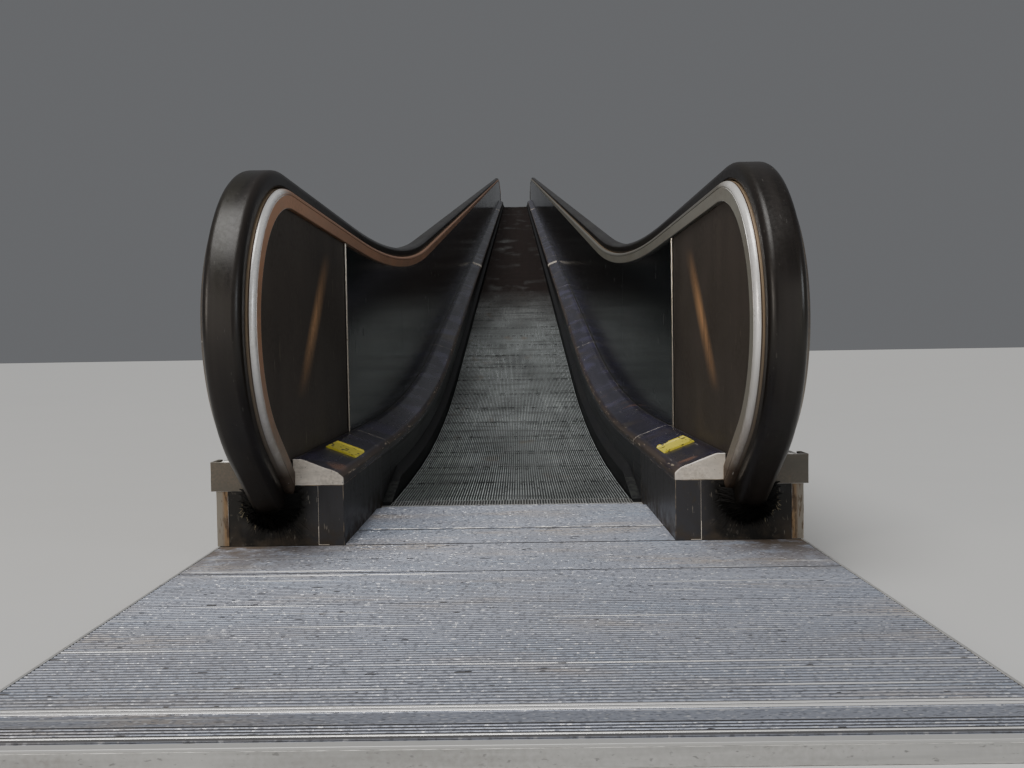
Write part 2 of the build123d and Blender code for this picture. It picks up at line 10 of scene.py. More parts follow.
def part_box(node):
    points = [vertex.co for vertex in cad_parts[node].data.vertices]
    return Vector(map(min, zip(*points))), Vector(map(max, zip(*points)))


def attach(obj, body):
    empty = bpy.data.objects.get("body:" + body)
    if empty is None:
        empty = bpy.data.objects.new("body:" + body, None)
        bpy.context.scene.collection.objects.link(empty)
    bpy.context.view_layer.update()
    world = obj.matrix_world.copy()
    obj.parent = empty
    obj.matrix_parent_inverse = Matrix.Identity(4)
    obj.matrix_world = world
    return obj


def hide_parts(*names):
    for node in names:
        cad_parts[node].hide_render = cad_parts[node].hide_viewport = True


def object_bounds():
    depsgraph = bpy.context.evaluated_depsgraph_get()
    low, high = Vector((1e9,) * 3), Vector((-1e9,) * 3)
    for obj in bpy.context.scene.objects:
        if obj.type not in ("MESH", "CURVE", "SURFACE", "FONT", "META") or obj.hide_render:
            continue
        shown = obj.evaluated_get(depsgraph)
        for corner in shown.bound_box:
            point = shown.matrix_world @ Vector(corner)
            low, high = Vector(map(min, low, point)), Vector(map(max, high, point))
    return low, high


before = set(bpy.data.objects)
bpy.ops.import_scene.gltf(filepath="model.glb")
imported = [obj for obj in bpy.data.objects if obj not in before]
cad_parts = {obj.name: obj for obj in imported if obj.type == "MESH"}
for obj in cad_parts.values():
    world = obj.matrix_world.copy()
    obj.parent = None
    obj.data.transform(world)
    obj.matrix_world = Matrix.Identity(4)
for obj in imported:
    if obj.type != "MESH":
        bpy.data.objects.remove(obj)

bl_info = {
    "name": "Inclined moving walkway",
    "version": (1, 0, 0),
    "blender": (4, 5, 0),
    "location": "3D View > Sidebar > Walkway",
    "description": "Finishes the walkway's plates, band, decks, balustrades, handrails and housing",
    "category": "Object",
}

TINY = 1e-6
WELD = 2e-5
SHARP = radians(32)

# The walkway's route, in metres. "Station" is the distance along the walking surface from the
# front edge of the lower landing, and "height" is square to that surface.
CAD_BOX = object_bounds()
HALF_LENGTH = -CAD_BOX[0].y
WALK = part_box("floor_plates_lower")[1].z
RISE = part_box("floor_plates_upper")[1].z - WALK
INCLINE = radians(12)
BEND_RADIUS = 13.1
BEND_STEPS = 16
BEND_RUN = RISE / tan(INCLINE)
LEVEL_END = HALF_LENGTH - BEND_RUN / 2 - BEND_RADIUS * tan(INCLINE / 2)
CURVE = BEND_RADIUS * INCLINE
SLOPE = BEND_RUN / cos(INCLINE) - 2 * BEND_RADIUS * tan(INCLINE / 2)
STOPS = [LEVEL_END, LEVEL_END + CURVE, LEVEL_END + CURVE + SLOPE, LEVEL_END + 2 * CURVE + SLOPE]
ROUTE_LENGTH = STOPS[3] + LEVEL_END
LOW_BEND = Vector((0, LEVEL_END - HALF_LENGTH, WALK + BEND_RADIUS))
HIGH_BEND = Vector((0, HALF_LENGTH - LEVEL_END, WALK + RISE - BEND_RADIUS))

# Places that several pieces share
HALF_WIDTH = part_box("landing_frames")[1].x
BASE_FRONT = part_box("newel_base_right_lower")[0].y + HALF_LENGTH
PALLET_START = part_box("newel_base_right_lower")[1].y + HALF_LENGTH
PALLET_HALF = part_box("pallets")[1].x
SKIRT_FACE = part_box("skirt_right")[0].x
SKIRT_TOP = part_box("newel_base_right_lower")[1].z - WALK
DECK_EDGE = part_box("inner_deck_right")[1].x
BALUSTRADE = (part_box("handrail_right")[0].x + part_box("handrail_right")[1].x) / 2
PLATE = 0.012
PLATE_HALF = HALF_WIDTH - 0.008
COMB_START = 1.72
PLATE_SEAM = 0.0006
PLATE_SEAMS = [0.104, 0.62, 0.87, 1.35]
SHEET_LENGTH = 3.1
DECK_TOP = 0.2275
SLOPE_FOOT = (0.452, 0.1915)
NOSE = 0.1775
SLOPE_HEAD = DECK_EDGE - 0.026
OUTER_DECK_LOW = DECK_TOP - 0.0825

# Stations across the threshold: the end of its sloping lip, the middle of its first rib, the
# ends of the ribbed part and of the nosing, and the front of the strip past the gap
LIP_END = 0.014
FIRST_RIB = 0.0175
RIBBED_END = 0.0535
NOSING_END = 0.0915
STRIP_FRONT = 0.0945

# The handrail's outer face: its height on the straight, and its round over the newel
RAIL_HEIGHT = 0.985
CAP_DEPTH = 0.098
NEWEL_RADIUS = 0.42
NEWEL_STATION = 1.216
NEWEL_TURN = radians(141)
NEWEL_STEPS = 40
RETURN_RADIUS = 0.2
RETURN_HEIGHT = 0.02
RETURN_STEPS = 6

# The brush holders: their radius, and how far the bristles' middle lies over theirs
RING_RADIUS = 0.088
BRUSH_LIFT = 0.022


def tilt_at(station):
    """The walkway's slope at a station."""
    up = (station - STOPS[0]) / BEND_RADIUS
    down = (STOPS[3] - station) / BEND_RADIUS
    return max(0.0, min(up, down, INCLINE))


def place(station):
    """Matrix from (x, 0, height) to the walkway at a station."""
    if station <= STOPS[0]:
        return Matrix.Translation((0, station - HALF_LENGTH, WALK))
    if station <= STOPS[1]:
        turn = Matrix.Rotation(tilt_at(station), 4, "X")
        return Matrix.Translation(LOW_BEND) @ turn @ Matrix.Translation((0, 0, -BEND_RADIUS))
    if station <= STOPS[2]:
        return place(STOPS[1]) @ Matrix.Translation((0, station - STOPS[1], 0))
    if station <= STOPS[3]:
        turn = Matrix.Rotation(tilt_at(station), 4, "X")
        return Matrix.Translation(HIGH_BEND) @ turn @ Matrix.Translation((0, 0, BEND_RADIUS))
    return Matrix.Translation((0, HALF_LENGTH - ROUTE_LENGTH + station, WALK + RISE))


FRONT = place(0)
SLOPE_INVERSE = place(STOPS[1]).inverted()


def route_of(point):
    """The (x, station, height) of a point, for patterns that follow the walkway."""
    x, y, z = point
    turned = atan2(y - LOW_BEND.y, LOW_BEND.z - z)
    if turned <= 0:
        return x, y + HALF_LENGTH, z - WALK
    if turned <= INCLINE:
        out = (Vector((0, y, z)) - LOW_BEND).length
        return x, STOPS[0] + BEND_RADIUS * turned, BEND_RADIUS - out
    left = atan2(HIGH_BEND.y - y, z - HIGH_BEND.z)
    if left >= INCLINE:
        local = SLOPE_INVERSE @ Vector((x, y, z))
        return x, STOPS[1] + local.y, local.z
    if left > 0:
        out = (Vector((0, y, z)) - HIGH_BEND).length
        return x, STOPS[2] + BEND_RADIUS * (INCLINE - left), out - BEND_RADIUS
    return x, ROUTE_LENGTH - HALF_LENGTH + y, z - WALK - RISE


# Making meshes

ROUND_SEGMENTS = 5
END_WEAR = 0.0018


def only(kind, geometry):
    return [item for item in geometry if isinstance(item, kind)]


def pushed(bm, edges, vector):
    """Extrudes edges along a vector and gives the far edges."""
    made = bmesh.ops.extrude_edge_only(bm, edges=edges)["geom"]
    bmesh.ops.translate(bm, verts=only(bmesh.types.BMVert, made), vec=vector)
    return [edge for edge in only(bmesh.types.BMEdge, made) if edge.is_boundary]


def spun(bm, edges, centre, angle, steps):
    """Spins edges about an axis across the walkway and gives the far edges."""
    made = bmesh.ops.spin(
        bm, geom=edges, cent=centre, axis=(1, 0, 0), dvec=(0, 0, 0), angle=angle, steps=steps,
        use_merge=False, use_duplicate=False,
    )
    return only(bmesh.types.BMEdge, made["geom_last"])


def carried(bm, edges, start, end):
    """Carries edges along the walkway from one station to another, either way."""
    between = [stop for stop in STOPS if min(start, end) < stop < max(start, end)]
    stops = [start] + sorted(between, reverse=end < start) + [end]
    for here, there in zip(stops, stops[1:]):
        turned = tilt_at(there) - tilt_at(here)
        if abs(turned) < TINY:
            step = place(there).translation - place(here).translation
            edges = pushed(bm, edges, step)
        else:
            centre = LOW_BEND if max(here, there) <= STOPS[1] + TINY else HIGH_BEND
            steps = max(2, round(BEND_STEPS * abs(turned) / INCLINE))
            edges = spun(bm, edges, centre, turned, steps)
    return edges


def section(bm, at, corners):
    """A face from corners (x, height, radius of the round), and its edges."""
    before = set(bm.faces)
    verts = [bm.verts.new(at @ Vector((x, 0, height))) for x, height, _ in corners]
    bm.faces.new(verts)
    for radius in sorted({corner[2] for corner in corners if corner[2]}):
        chosen = [vert for vert, corner in zip(verts, corners) if corner[2] == radius]
        bmesh.ops.bevel(
            bm, geom=chosen, offset=radius, offset_type="OFFSET", segments=ROUND_SEGMENTS,
            profile=0.5, affect="VERTICES", material=-1,
        )
    face = next(face for face in bm.faces if face not in before)
    return face, list(face.edges)


def face_layer(bm, name):
    return bm.faces.layers.float.get(name) or bm.faces.layers.float.new(name)


def worn_bevel(bm, edges, width, segments):
    """Bevels edges and marks the bevels as edges that wear."""
    worn = face_layer(bm, "edge")
    made = bmesh.ops.bevel(
        bm, geom=edges, offset=width, offset_type="OFFSET", segments=segments, profile=0.5,
        affect="EDGES", material=-1, clamp_overlap=True,
    )
    for face in made["faces"]:
        face[worn] = 1.0


def bevelled(bm, width, segments=2):
    """Bevels every sharp edge."""
    sharp = [edge for edge in bm.edges if edge.is_manifold and edge.calc_face_angle(0) > SHARP]
    worn_bevel(bm, sharp, width, segments)


def moulding(bm, corners, start, end, tone=0.0):
    """A closed length of moulding along the walkway, with worn edges at its ends."""
    before = set(bm.faces)
    near, edges = section(bm, place(start), corners)
    far = bmesh.ops.edgeloop_fill(bm, edges=carried(bm, edges, start, end))["faces"][0]
    worn_bevel(bm, list(near.edges) + list(far.edges), END_WEAR, 1)
    shade = face_layer(bm, "tone")
    for face in bm.faces:
        if face not in before:
            face[shade] = tone


def mouldings(corners, joints, gap):
    """Lengths of moulding between joints, each with a tone of its own."""
    bm = bmesh.new()
    draw = random.Random(5)
    for start, end in zip(joints, joints[1:]):
        moulding(bm, corners, start + gap / 2, end - gap / 2, draw.random())
    return bm


def block(bm, low, high, at=FRONT):
    """A box between two corners, and its vertices."""
    low, high = Vector(low), Vector(high)
    size = high - low
    matrix = at @ Matrix.Translation((low + high) / 2) @ Matrix.Diagonal((*size, 1))
    return bmesh.ops.create_cube(bm, size=1, matrix=matrix)["verts"]


def cut_off(bm, point, normal):
    """Cuts away what lies past a plane and closes the cut."""
    bmesh.ops.bisect_plane(
        bm, geom=bm.verts[:] + bm.edges[:] + bm.faces[:], plane_co=point, plane_no=normal,
        clear_outer=True,
    )
    bmesh.ops.holes_fill(bm, edges=[edge for edge in bm.edges if edge.is_boundary], sides=0)


def repeated(bm, matrix):
    made = bmesh.ops.duplicate(bm, geom=bm.verts[:] + bm.edges[:] + bm.faces[:])["geom"]
    bmesh.ops.transform(bm, matrix=matrix, verts=only(bmesh.types.BMVert, made))


TO_LEFT = Matrix.Scale(-1, 4, (1, 0, 0))
TO_UPPER = Matrix.Translation((0, 0, RISE)) @ Matrix.Scale(-1, 4, (0, 1, 0))


def in_four_corners(bm):
    """Repeats what is made at the lower right on the left, and both at the upper landing."""
    repeated(bm, TO_LEFT)
    repeated(bm, TO_UPPER)


def new_mesh(name, bm):
    mesh = bpy.data.meshes.new(name)
    bm.to_mesh(mesh)
    bm.free()
    return mesh


def new_object(name, data):
    made = bpy.data.objects.new(name, data)
    bpy.context.scene.collection.objects.link(made)
    return made


def piece(bm, name, material, nodes=(), second=None):
    """Makes the finished object, which rides on the walkway and stands for CAD nodes. It takes
    the material, and a second one where given."""
    bmesh.ops.remove_doubles(bm, verts=bm.verts[:], dist=WELD)
    bmesh.ops.recalc_face_normals(bm, faces=bm.faces[:])
    layer = bm.verts.layers.float_vector.new("route")
    for vert in bm.verts:
        vert[layer] = route_of(vert.co)
    for face in bm.faces:
        face.smooth = True
    mesh = new_mesh(name, bm)
    mesh.set_sharp_from_angle(angle=SHARP)
    for used in (material, second) if second else (material,):
        mesh.materials.append(bpy.data.materials[used + FINISH])
    made = new_object(name, mesh)
    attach(made, "root")
    if nodes:
        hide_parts(*nodes)
    weighted = made.modifiers.new("weighted_normals", "WEIGHTED_NORMAL")
    weighted.keep_sharp = True
    weighted.weight = 100


def softened(node_name, width, material, segments=2):
    """Stands for a CAD node with the same shape, its flat faces whole and its edges softened."""
    bm = bmesh.new()
    bm.from_mesh(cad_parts[node_name].data)
    bmesh.ops.remove_doubles(bm, verts=bm.verts[:], dist=WELD)
    bmesh.ops.dissolve_limit(
        bm, angle_limit=radians(0.5), verts=bm.verts[:], edges=bm.edges[:], delimit=set()
    )
    bevelled(bm, width, segments)
    piece(bm, node_name + "_finished", material, [node_name])


def screw(bm, at, radius, height):
    """A low round head with a socket, standing on the matrix's XY plane."""
    made = bmesh.ops.create_cone(
        bm, cap_ends=True, segments=10, radius1=radius, radius2=radius * 0.82, depth=height,
        matrix=at @ Matrix.Translation((0, 0, height / 2)),
    )["verts"]
    top = max(
        {face for vert in made for face in vert.link_faces},
        key=lambda face: (at.inverted() @ face.calc_center_median()).z,
    )
    bmesh.ops.inset_region(bm, faces=[top], thickness=radius * 0.42)
    axis = (at.to_3x3() @ Vector((0, 0, 1))).normalized()
    bmesh.ops.translate(bm, verts=list(top.verts), vec=-axis * height * 0.7)


# Making materials

FINISH = "_finish"


def feed(tree, made, inputs):
    """Links or sets each named input of a node."""
    for socket, value in inputs.items():
        if isinstance(value, bpy.types.NodeSocket):
            tree.links.new(value, made.inputs[socket])
        else:
            made.inputs[socket].default_value = value


def node(tree, kind, inputs=None, **settings):
    made = tree.nodes.new(kind)
    for key, value in settings.items():
        setattr(made, key, value)
    feed(tree, made, inputs or {})
    return made


def maths(tree, operation, *values):
    """The result of one math node."""
    return node(tree, "ShaderNodeMath", dict(enumerate(values)), operation=operation).outputs[0]


def ranged(tree, value, low, high):
    """0 below the low value, 1 above the high one."""
    inputs = {"Value": value, "From Min": low, "From Max": high}
    return node(tree, "ShaderNodeMapRange", inputs, clamp=True).outputs[0]


def noise(tree, vector, scale, detail):
    inputs = {"Vector": vector, "Scale": scale, "Detail": detail}
    return node(tree, "ShaderNodeTexNoise", inputs).outputs[0]


def stretched(tree, vector, grain, detail):
    """Noise with its own number of grains to the metre in each direction."""
    scaled = node(tree, "ShaderNodeVectorMath", {0: vector, 1: grain}, operation="MULTIPLY")
    return noise(tree, scaled.outputs[0], 1.0, detail)


def new_group(build, result, inputs):
    """A shader node group named for the function that builds its mask or normal."""
    tree = bpy.data.node_groups.new(build.__name__, "ShaderNodeTree")
    kinds = {tuple: "NodeSocketVector", float: "NodeSocketFloat"}
    inputs = {"Vector": (0.0, 0.0, 0.0), **inputs}
    for socket, value in inputs.items():
        kind = kinds[type(value)]
        made = tree.interface.new_socket(name=socket, in_out="INPUT", socket_type=kind)
        made.default_value = value
    kind = kinds[tuple if result == "Normal" else float]
    tree.interface.new_socket(name=result, in_out="OUTPUT", socket_type=kind)
    sockets = tree.nodes.new("NodeGroupInput").outputs
    made = build(tree, *[sockets[socket] for socket in inputs])
    tree.links.new(made, tree.nodes.new("NodeGroupOutput").inputs[result])


def streaks(tree, vector, grain, low, high):
    return ranged(tree, stretched(tree, vector, grain, 3.0), low, high)


def grime(tree, vector, patches, fine, amount):
    wide = ranged(tree, stretched(tree, vector, patches, 4.0), 0.35, 0.7)
    small = ranged(tree, noise(tree, vector, fine, 5.0), 0.3, 0.7)
    return maths(tree, "MULTIPLY", maths(tree, "MULTIPLY", wide, small), amount)


def edge_wear(tree, vector, scale, amount):
    edge = node(tree, "ShaderNodeAttribute", attribute_name="edge").outputs["Fac"]
    rubbed = ranged(tree, noise(tree, vector, scale, 4.0), 0.4, 0.6)
    return maths(tree, "MULTIPLY", maths(tree, "MULTIPLY", edge, rubbed), amount)


def fine_bump(tree, vector, grain, strength, distance):
    inputs = {
        "Height": stretched(tree, vector, grain, 2.0), "Strength": strength, "Distance": distance
    }
    return node(tree, "ShaderNodeBump", inputs).outputs[0]


GROUPS = (
    (streaks, "Mask", {"Grain": (100.0, 2.0, 100.0), "Low": 0.45, "High": 0.6}),
    (grime, "Mask", {"Patches": (2.0, 2.0, 2.0), "Fine": 60.0, "Amount": 0.5}),
    (edge_wear, "Mask", {"Scale": 40.0, "Amount": 1.0}),
    (fine_bump, "Normal", {"Grain": (300.0, 300.0, 300.0), "Strength": 0.1, "Distance": 0.0005}),
)


class Finish:
    """A material built up from a base and looks that masks lay over it.

    A look is a colour, and after it a roughness and a metallic value where they change too.
    """

    def __init__(self, name, colour, roughness, metallic=0.0, **shader):
        material = bpy.data.materials.new(name + FINISH)
        material.use_nodes = True
        material.diffuse_color = (*colour, 1)
        self.tree = material.node_tree
        self.route = self.attribute("route", "Vector")
        self.layers = {"Base Color": (*colour, 1), "Roughness": roughness, "Metallic": metallic}
        for socket, value in shader.items():
            self.layers[socket.replace("_", " ")] = value

    def attribute(self, name, output="Fac"):
        return node(self.tree, "ShaderNodeAttribute", attribute_name=name).outputs[output]

    def axis(self, name):
        """X, Y (the station) or Z (the height), or how far aside from the walkway's middle."""
        if name == "aside":
            return maths(self.tree, "ABSOLUTE", self.axis("X"))
        return node(self.tree, "ShaderNodeSeparateXYZ", {0: self.route}).outputs[name]

    def above(self, value, low, high):
        """0 below the low value of an axis or a socket, 1 above the high one."""
        value = self.axis(value) if isinstance(value, str) else value
        return ranged(self.tree, value, low, high)

    def below(self, value, low, high):
        """1 below the low value, 0 above the high one."""
        return maths(self.tree, "SUBTRACT", 1.0, self.above(value, low, high))

    def band(self, value, low, high, soft):
        """1 between two values, with soft ends outside them."""
        return self.both(self.above(value, low - soft, low), self.below(value, high, high + soft))

    def both(self, first, second):
        return maths(self.tree, "MULTIPLY", first, second)

    def wave(self, axis, start, pitch):
        """0 at every joint of a row from a start, 0.5 half way between them."""
        along = maths(self.tree, "ADD", self.axis(axis), -start)
        return maths(self.tree, "PINGPONG", maths(self.tree, "MULTIPLY", along, 1 / pitch), 0.5)

    def group(self, name, **inputs):
        inputs["Vector"] = self.route
        tree = bpy.data.node_groups[name]
        return node(self.tree, "ShaderNodeGroup", inputs, node_tree=tree).outputs[0]

    def lay(self, mask, colour, roughness=None, metallic=None):
        """Lays a look over what is there, where the mask is 1."""
        self.mix("RGBA", (6, 7, 2), mask, "Base Color", (*colour, 1))
        for socket, value in (("Roughness", roughness), ("Metallic", metallic)):
            if value is not None:
                self.mix("FLOAT", (2, 3, 0), mask, socket, value)

    def mix(self, kind, sockets, mask, layer, value):
        """Mixes a value over a layer; the sockets are those of a mix node of this kind."""
        first, second, result = sockets
        inputs = {0: mask, first: self.layers[layer], second: value}
        made = node(self.tree, "ShaderNodeMix", inputs, data_type=kind)
        self.layers[layer] = made.outputs[result]

    def streaked(self, grain, low, high, *look, within=None):
        """Lays a look over streaks, with so many grains to the metre along each axis."""
        mask = self.group("streaks", Grain=grain, Low=low, High=high)
        self.lay(mask if within is None else self.both(within, mask), *look)

    def grimy(self, patches, fine, amount, *look):
        self.lay(self.group("grime", Patches=patches, Fine=fine, Amount=amount), *look)

    def edges(self, scale, amount, *look):
        """Lays a look over the worn edges."""
        self.lay(self.group("edge_wear", Scale=scale, Amount=amount), *look)

    def done(self, *bump):
        """Puts the layers on the shader, with a bump of a grain, a strength and a distance."""
        if bump:
            inputs = dict(zip(("Grain", "Strength", "Distance"), bump))
            self.layers["Normal"] = self.group("fine_bump", **inputs)
        feed(self.tree, self.tree.nodes["Principled BSDF"], self.layers)


def tinted(colour, share):
    return tuple(c * share for c in colour)


# The finishes. Their axes are the route's, in metres: "X" is the distance from the middle, "Y"
# the station and "Z" the height over the walking surface.

def plate_metal(colour):
    """Ribbed aluminium: bright tops, dark grooves, streaks across and brown dirt in places."""
    made = Finish("plate_metal", colour, 0.46, 0.5)
    tops = made.above("Z", -0.0012, -0.0004)
    behind = made.above("Y", LIP_END, LIP_END + 0.001)
    made.streaked((2.2, 8, 1), 0.38, 0.62, tinted(colour, 0.86), 0.5)
    made.streaked((1.3, 5, 1), 0.46, 0.66, (0.33, 0.39, 0.5), 0.44)
    made.streaked((1.7, 6, 9), 0.52, 0.68, (0.5, 0.45, 0.41), 0.48)
    made.streaked((9, 150, 1), 0.44, 0.62, tinted(colour, 0.84), 0.52)
    made.streaked((100, 260, 1), 0.52, 0.64, tinted(colour, 0.45), 0.58)
    made.streaked((80, 220, 7), 0.6, 0.67, (0.84, 0.86, 0.92), 0.34)
    made.streaked((0.8, 89, 3), 0.64, 0.7, (0.9, 0.91, 0.93), 0.3, 0.4)
    scored = made.both(made.band("Y", 0.2725, 0.2765, 0.0005), tops)
    right = made.above("X", -0.35, 0.12)
    made.lay(made.both(scored, right), (0.98, 0.98, 0.99), 0.25, 0.4)
    made.streaked((26, 260, 1), 0.66, 0.69, (0.04, 0.04, 0.045), 0.65)
    made.streaked((11, 130, 9), 0.7, 0.715, (0.02, 0.02, 0.02), 0.6)
    first_rib = made.both(made.below("Y", FIRST_RIB + 0.0005, FIRST_RIB + 0.0025), behind)
    made.lay(made.both(first_rib, tops), (0.98, 0.98, 0.96), 0.25, 0.4)
    strip = made.band("Y", STRIP_FRONT, STRIP_FRONT + 0.019, 0.0005)
    bright = (0.98, 0.98, 0.98), 0.25, 0.4
    made.lay(made.both(strip, tops), *bright)
    seam = made.band("Y", PLATE_SEAMS[3], PLATE_SEAMS[3] + 0.009, 0.001)
    made.streaked((22, 1, 1), 0.4, 0.55, *bright, within=seam)
    corner = made.both(made.above("aside", 0.4, 0.66), made.above("Y", 0.8, 1.13))
    made.streaked((16, 22, 1), 0.3, 0.52, (0.1, 0.066, 0.038), 0.75, 0.1, within=corner)
    made.grimy((1.6, 2.6, 1), 110, 0.45, (0.2, 0.17, 0.14), 0.65, 0.3)
    grooves = maths(made.tree, "SUBTRACT", 1.0, tops)
    made.lay(made.both(grooves, behind), (0.09, 0.09, 0.095), 0.65, 0.3)
    made.lay(made.below("Y", LIP_END - 0.0015, LIP_END - 0.0005), (0.5, 0.5, 0.49), 0.5, 0.4)
    made.done((40, 700, 30), 0.3, 0.0004)


def comb_metal(colour, pitch):
    """Dirty castings with bright teeth and a bright edge against the comb plate."""
    made = Finish("comb_metal", colour, 0.55, 0.2, Specular_IOR_Level=0.3)
    teeth = made.below(made.wave("X", -PALLET_HALF, pitch), 0.17, 0.23)
    made.streaked((120, 3, 1), 0.2, 0.5, (0.5, 0.52, 0.51), 0.4, 0.4, within=teeth)
    edge = made.below("Y", COMB_START + 0.0055, COMB_START + 0.006)
    made.lay(edge, (0.85, 0.86, 0.86), 0.3, 0.4)
    made.streaked((80, 180, 40), 0.58, 0.68, (0.08, 0.08, 0.085), 0.6)
    made.grimy((14, 8, 8), 140, 0.6, (0.1, 0.085, 0.07), 0.65, 0.3)
    made.edges(60, 0.9, (0.95, 0.94, 0.9), 0.2, 1.0)
    made.done((600, 60, 60), 0.2, 0.0003)


def pallet_metal(colour, pitch):
    """Worn rib tops over black grooves, grime at the joints and brown painted shade far up the run.
    """
    made = Finish("pallet_metal", (0.01, 0.01, 0.01), 0.75, 0.1, Specular_IOR_Level=0.2)
    middle = made.below("aside", 0.22, 0.39)
    made.streaked((3, 1, 1), 0.3, 0.55, tinted(colour, 0.3), 0.7, within=middle)
    tops = made.above("Z", -0.0045, -0.0005)
    made.lay(tops, colour, 0.42, 0.4)
    bright = tuple(min(1, c * 1.5) for c in colour)
    made.streaked((120, 2, 1), 0.45, 0.6, bright, 0.34, within=tops)
    made.streaked((1.9, 0.55, 1), 0.4, 0.58, tinted(colour, 0.62), 0.55, within=tops)
    made.streaked((3, 13, 1), 0.48, 0.72, (0.16, 0.17, 0.165), 0.65, 0.2, within=tops)
    made.streaked((110, 26, 1), 0.62, 0.68, (0.05, 0.052, 0.05), 0.7, 0.2, within=tops)
    made.streaked((5, 2.4, 4), 0.64, 0.74, (0.3, 0.24, 0.18), 0.6, 0.3, within=tops)
    # Painted shade: a dark brown wash over the rib tops from station 6.5 m on, for the shadow far
    # up the run.
    painted_shade_far_up = made.above("Y", 6.5, 9.5)
    made.streaked((3, 1.2, 3), -0.2, 0.45, (0.024, 0.0165, 0.0145), 0.75, 0.0, within=painted_shade_far_up)
    joint = made.below(made.wave("Y", PALLET_START, pitch), 0.01, 0.07)
    made.streaked((30, 5, 1), 0.44, 0.58, (0.012, 0.012, 0.012), 0.75, 0.1, within=joint)
    made.done((400, 60, 60), 0.2, 0.0003)


def skirt_black():
    made = Finish("skirt_black", (0.03, 0.0305, 0.035), 0.42, Specular_IOR_Level=0.4)
    made.streaked((20, 1.4, 90), 0.55, 0.75, (0.022, 0.022, 0.023), 0.5)
    made.grimy((3, 1.2, 10), 60, 0.4, (0.035, 0.03, 0.025), 0.7)
    made.streaked((60, 7, 160), 0.69, 0.73, (0.07, 0.068, 0.065), 0.5)
    made.edges(30, 0.9, (0.2, 0.18, 0.16), 0.4, 0.6)
    made.done((200, 20, 200), 0.12, 0.0004)


def guard_black():
    made = Finish("guard_black", (0.017, 0.0175, 0.0195), 0.6, Specular_IOR_Level=0.2)
    made.streaked((60, 5, 120), 0.55, 0.8, (0.026, 0.0275, 0.028), 0.6)
    made.grimy((8, 3, 10), 90, 0.5, (0.028, 0.025, 0.02), 0.75)
    made.edges(50, 0.6, (0.05, 0.053, 0.048), 0.45)
    made.done((300, 30, 300), 0.15, 0.0004)


def deck_black(colour, worn):
    """Dark purple-brown coated sheet, polished, with brown wear along the nose."""
    made = Finish(
        "deck_black", colour, 0.26, Specular_IOR_Level=0.22, Coat_Weight=0.12, Coat_Roughness=0.08
    )
    browner = tuple(0.88 * a + 0.12 * b for a, b in zip(colour, worn))
    made.lay(made.attribute("tone"), browner, 0.26)
    made.streaked((18, 1.1, 20), 0.4, 0.7, tinted(colour, 0.66), 0.3)
    made.streaked((5, 2.6, 5), 0.56, 0.72, tinted(worn, 0.7), 0.25)
    # Painted reflection: purple blotches along the sheets.
    made.streaked((4, 3.4, 9), 0.5, 0.66, (0.047, 0.041, 0.088), 0.2)
    # Painted reflection: orange blotches near the lower landing.
    near = made.below("Y", 2.6, 3.6)
    made.streaked((3, 6, 16), 0.62, 0.72, (0.19, 0.1, 0.07), 0.25, within=near)
    made.grimy((5, 1.5, 5), 70, 0.35, (0.03, 0.027, 0.025), 0.5)
    nose = made.below("Z", NOSE + 0.0065, NOSE + 0.0165)
    bend = made.both(made.above("Z", NOSE - 0.0175, NOSE - 0.0075), nose)
    made.streaked((30, 5, 90), 0.32, 0.5, worn, 0.42, within=bend)
    made.streaked((60, 14, 160), 0.65, 0.69, (0.6, 0.52, 0.4), 0.35, 0.5, within=nose)
    back = made.above("aside", DECK_EDGE - 0.0065, DECK_EDGE - 0.006)
    made.streaked((1, 3, 1), 0.35, 0.55, (0.16, 0.15, 0.14), 0.35, within=back)
    made.lay(made.above("aside", DECK_EDGE - 0.0045, DECK_EDGE - 0.004), (0.004, 0.004, 0.004))
    made.streaked((160, 9, 160), 0.68, 0.73, (0.22, 0.2, 0.19), 0.45)
    made.edges(35, 1.0, (0.8, 0.72, 0.62), 0.32)
    made.done((60, 4, 60), 0.05, 0.0006)


def cap_steel(colour):
    """Bright plates: the outer ones duller, and the corner angles brown along one edge."""
    made = Finish("cap_steel", colour, 0.38, 0.3)
    made.streaked((25, 25, 40), 0.42, 0.66, tinted(colour, 0.84), 0.46)
    made.streaked((9, 9, 60), 0.5, 0.72, tinted(colour, 0.7), 0.45)
    outer = made.above("aside", HALF_WIDTH - 0.094, HALF_WIDTH - 0.088)
    made.lay(outer, (0.098, 0.088, 0.072), 0.5, 0.2)
    angle = made.both(outer, made.below("Z", OUTER_DECK_LOW - 0.0005, OUTER_DECK_LOW + 0.0005))
    made.lay(angle, (0.22, 0.198, 0.165), 0.5, 0.2)
    inner = made.both(angle, made.below("aside", HALF_WIDTH - 0.021, HALF_WIDTH - 0.013))
    made.lay(inner, (0.22, 0.14, 0.07), 0.65, 0.1)
    made.streaked((120, 60, 22), 0.45, 0.55, (0.07, 0.04, 0.02), 0.8, 0, within=inner)
    made.streaked((160, 60, 30), 0.56, 0.64, (0.1, 0.07, 0.04), 0.7, 0, within=angle)
    made.grimy((16, 16, 16), 160, 0.45, (0.26, 0.2, 0.14), 0.65, 0.1)
    made.streaked((120, 60, 90), 0.7, 0.74, (0.12, 0.09, 0.06), 0.6)
    made.edges(14, 0.9, (0.98, 0.96, 0.92), 0.3, 0.0)
    made.done((260, 60, 260), 0.12, 0.0003)


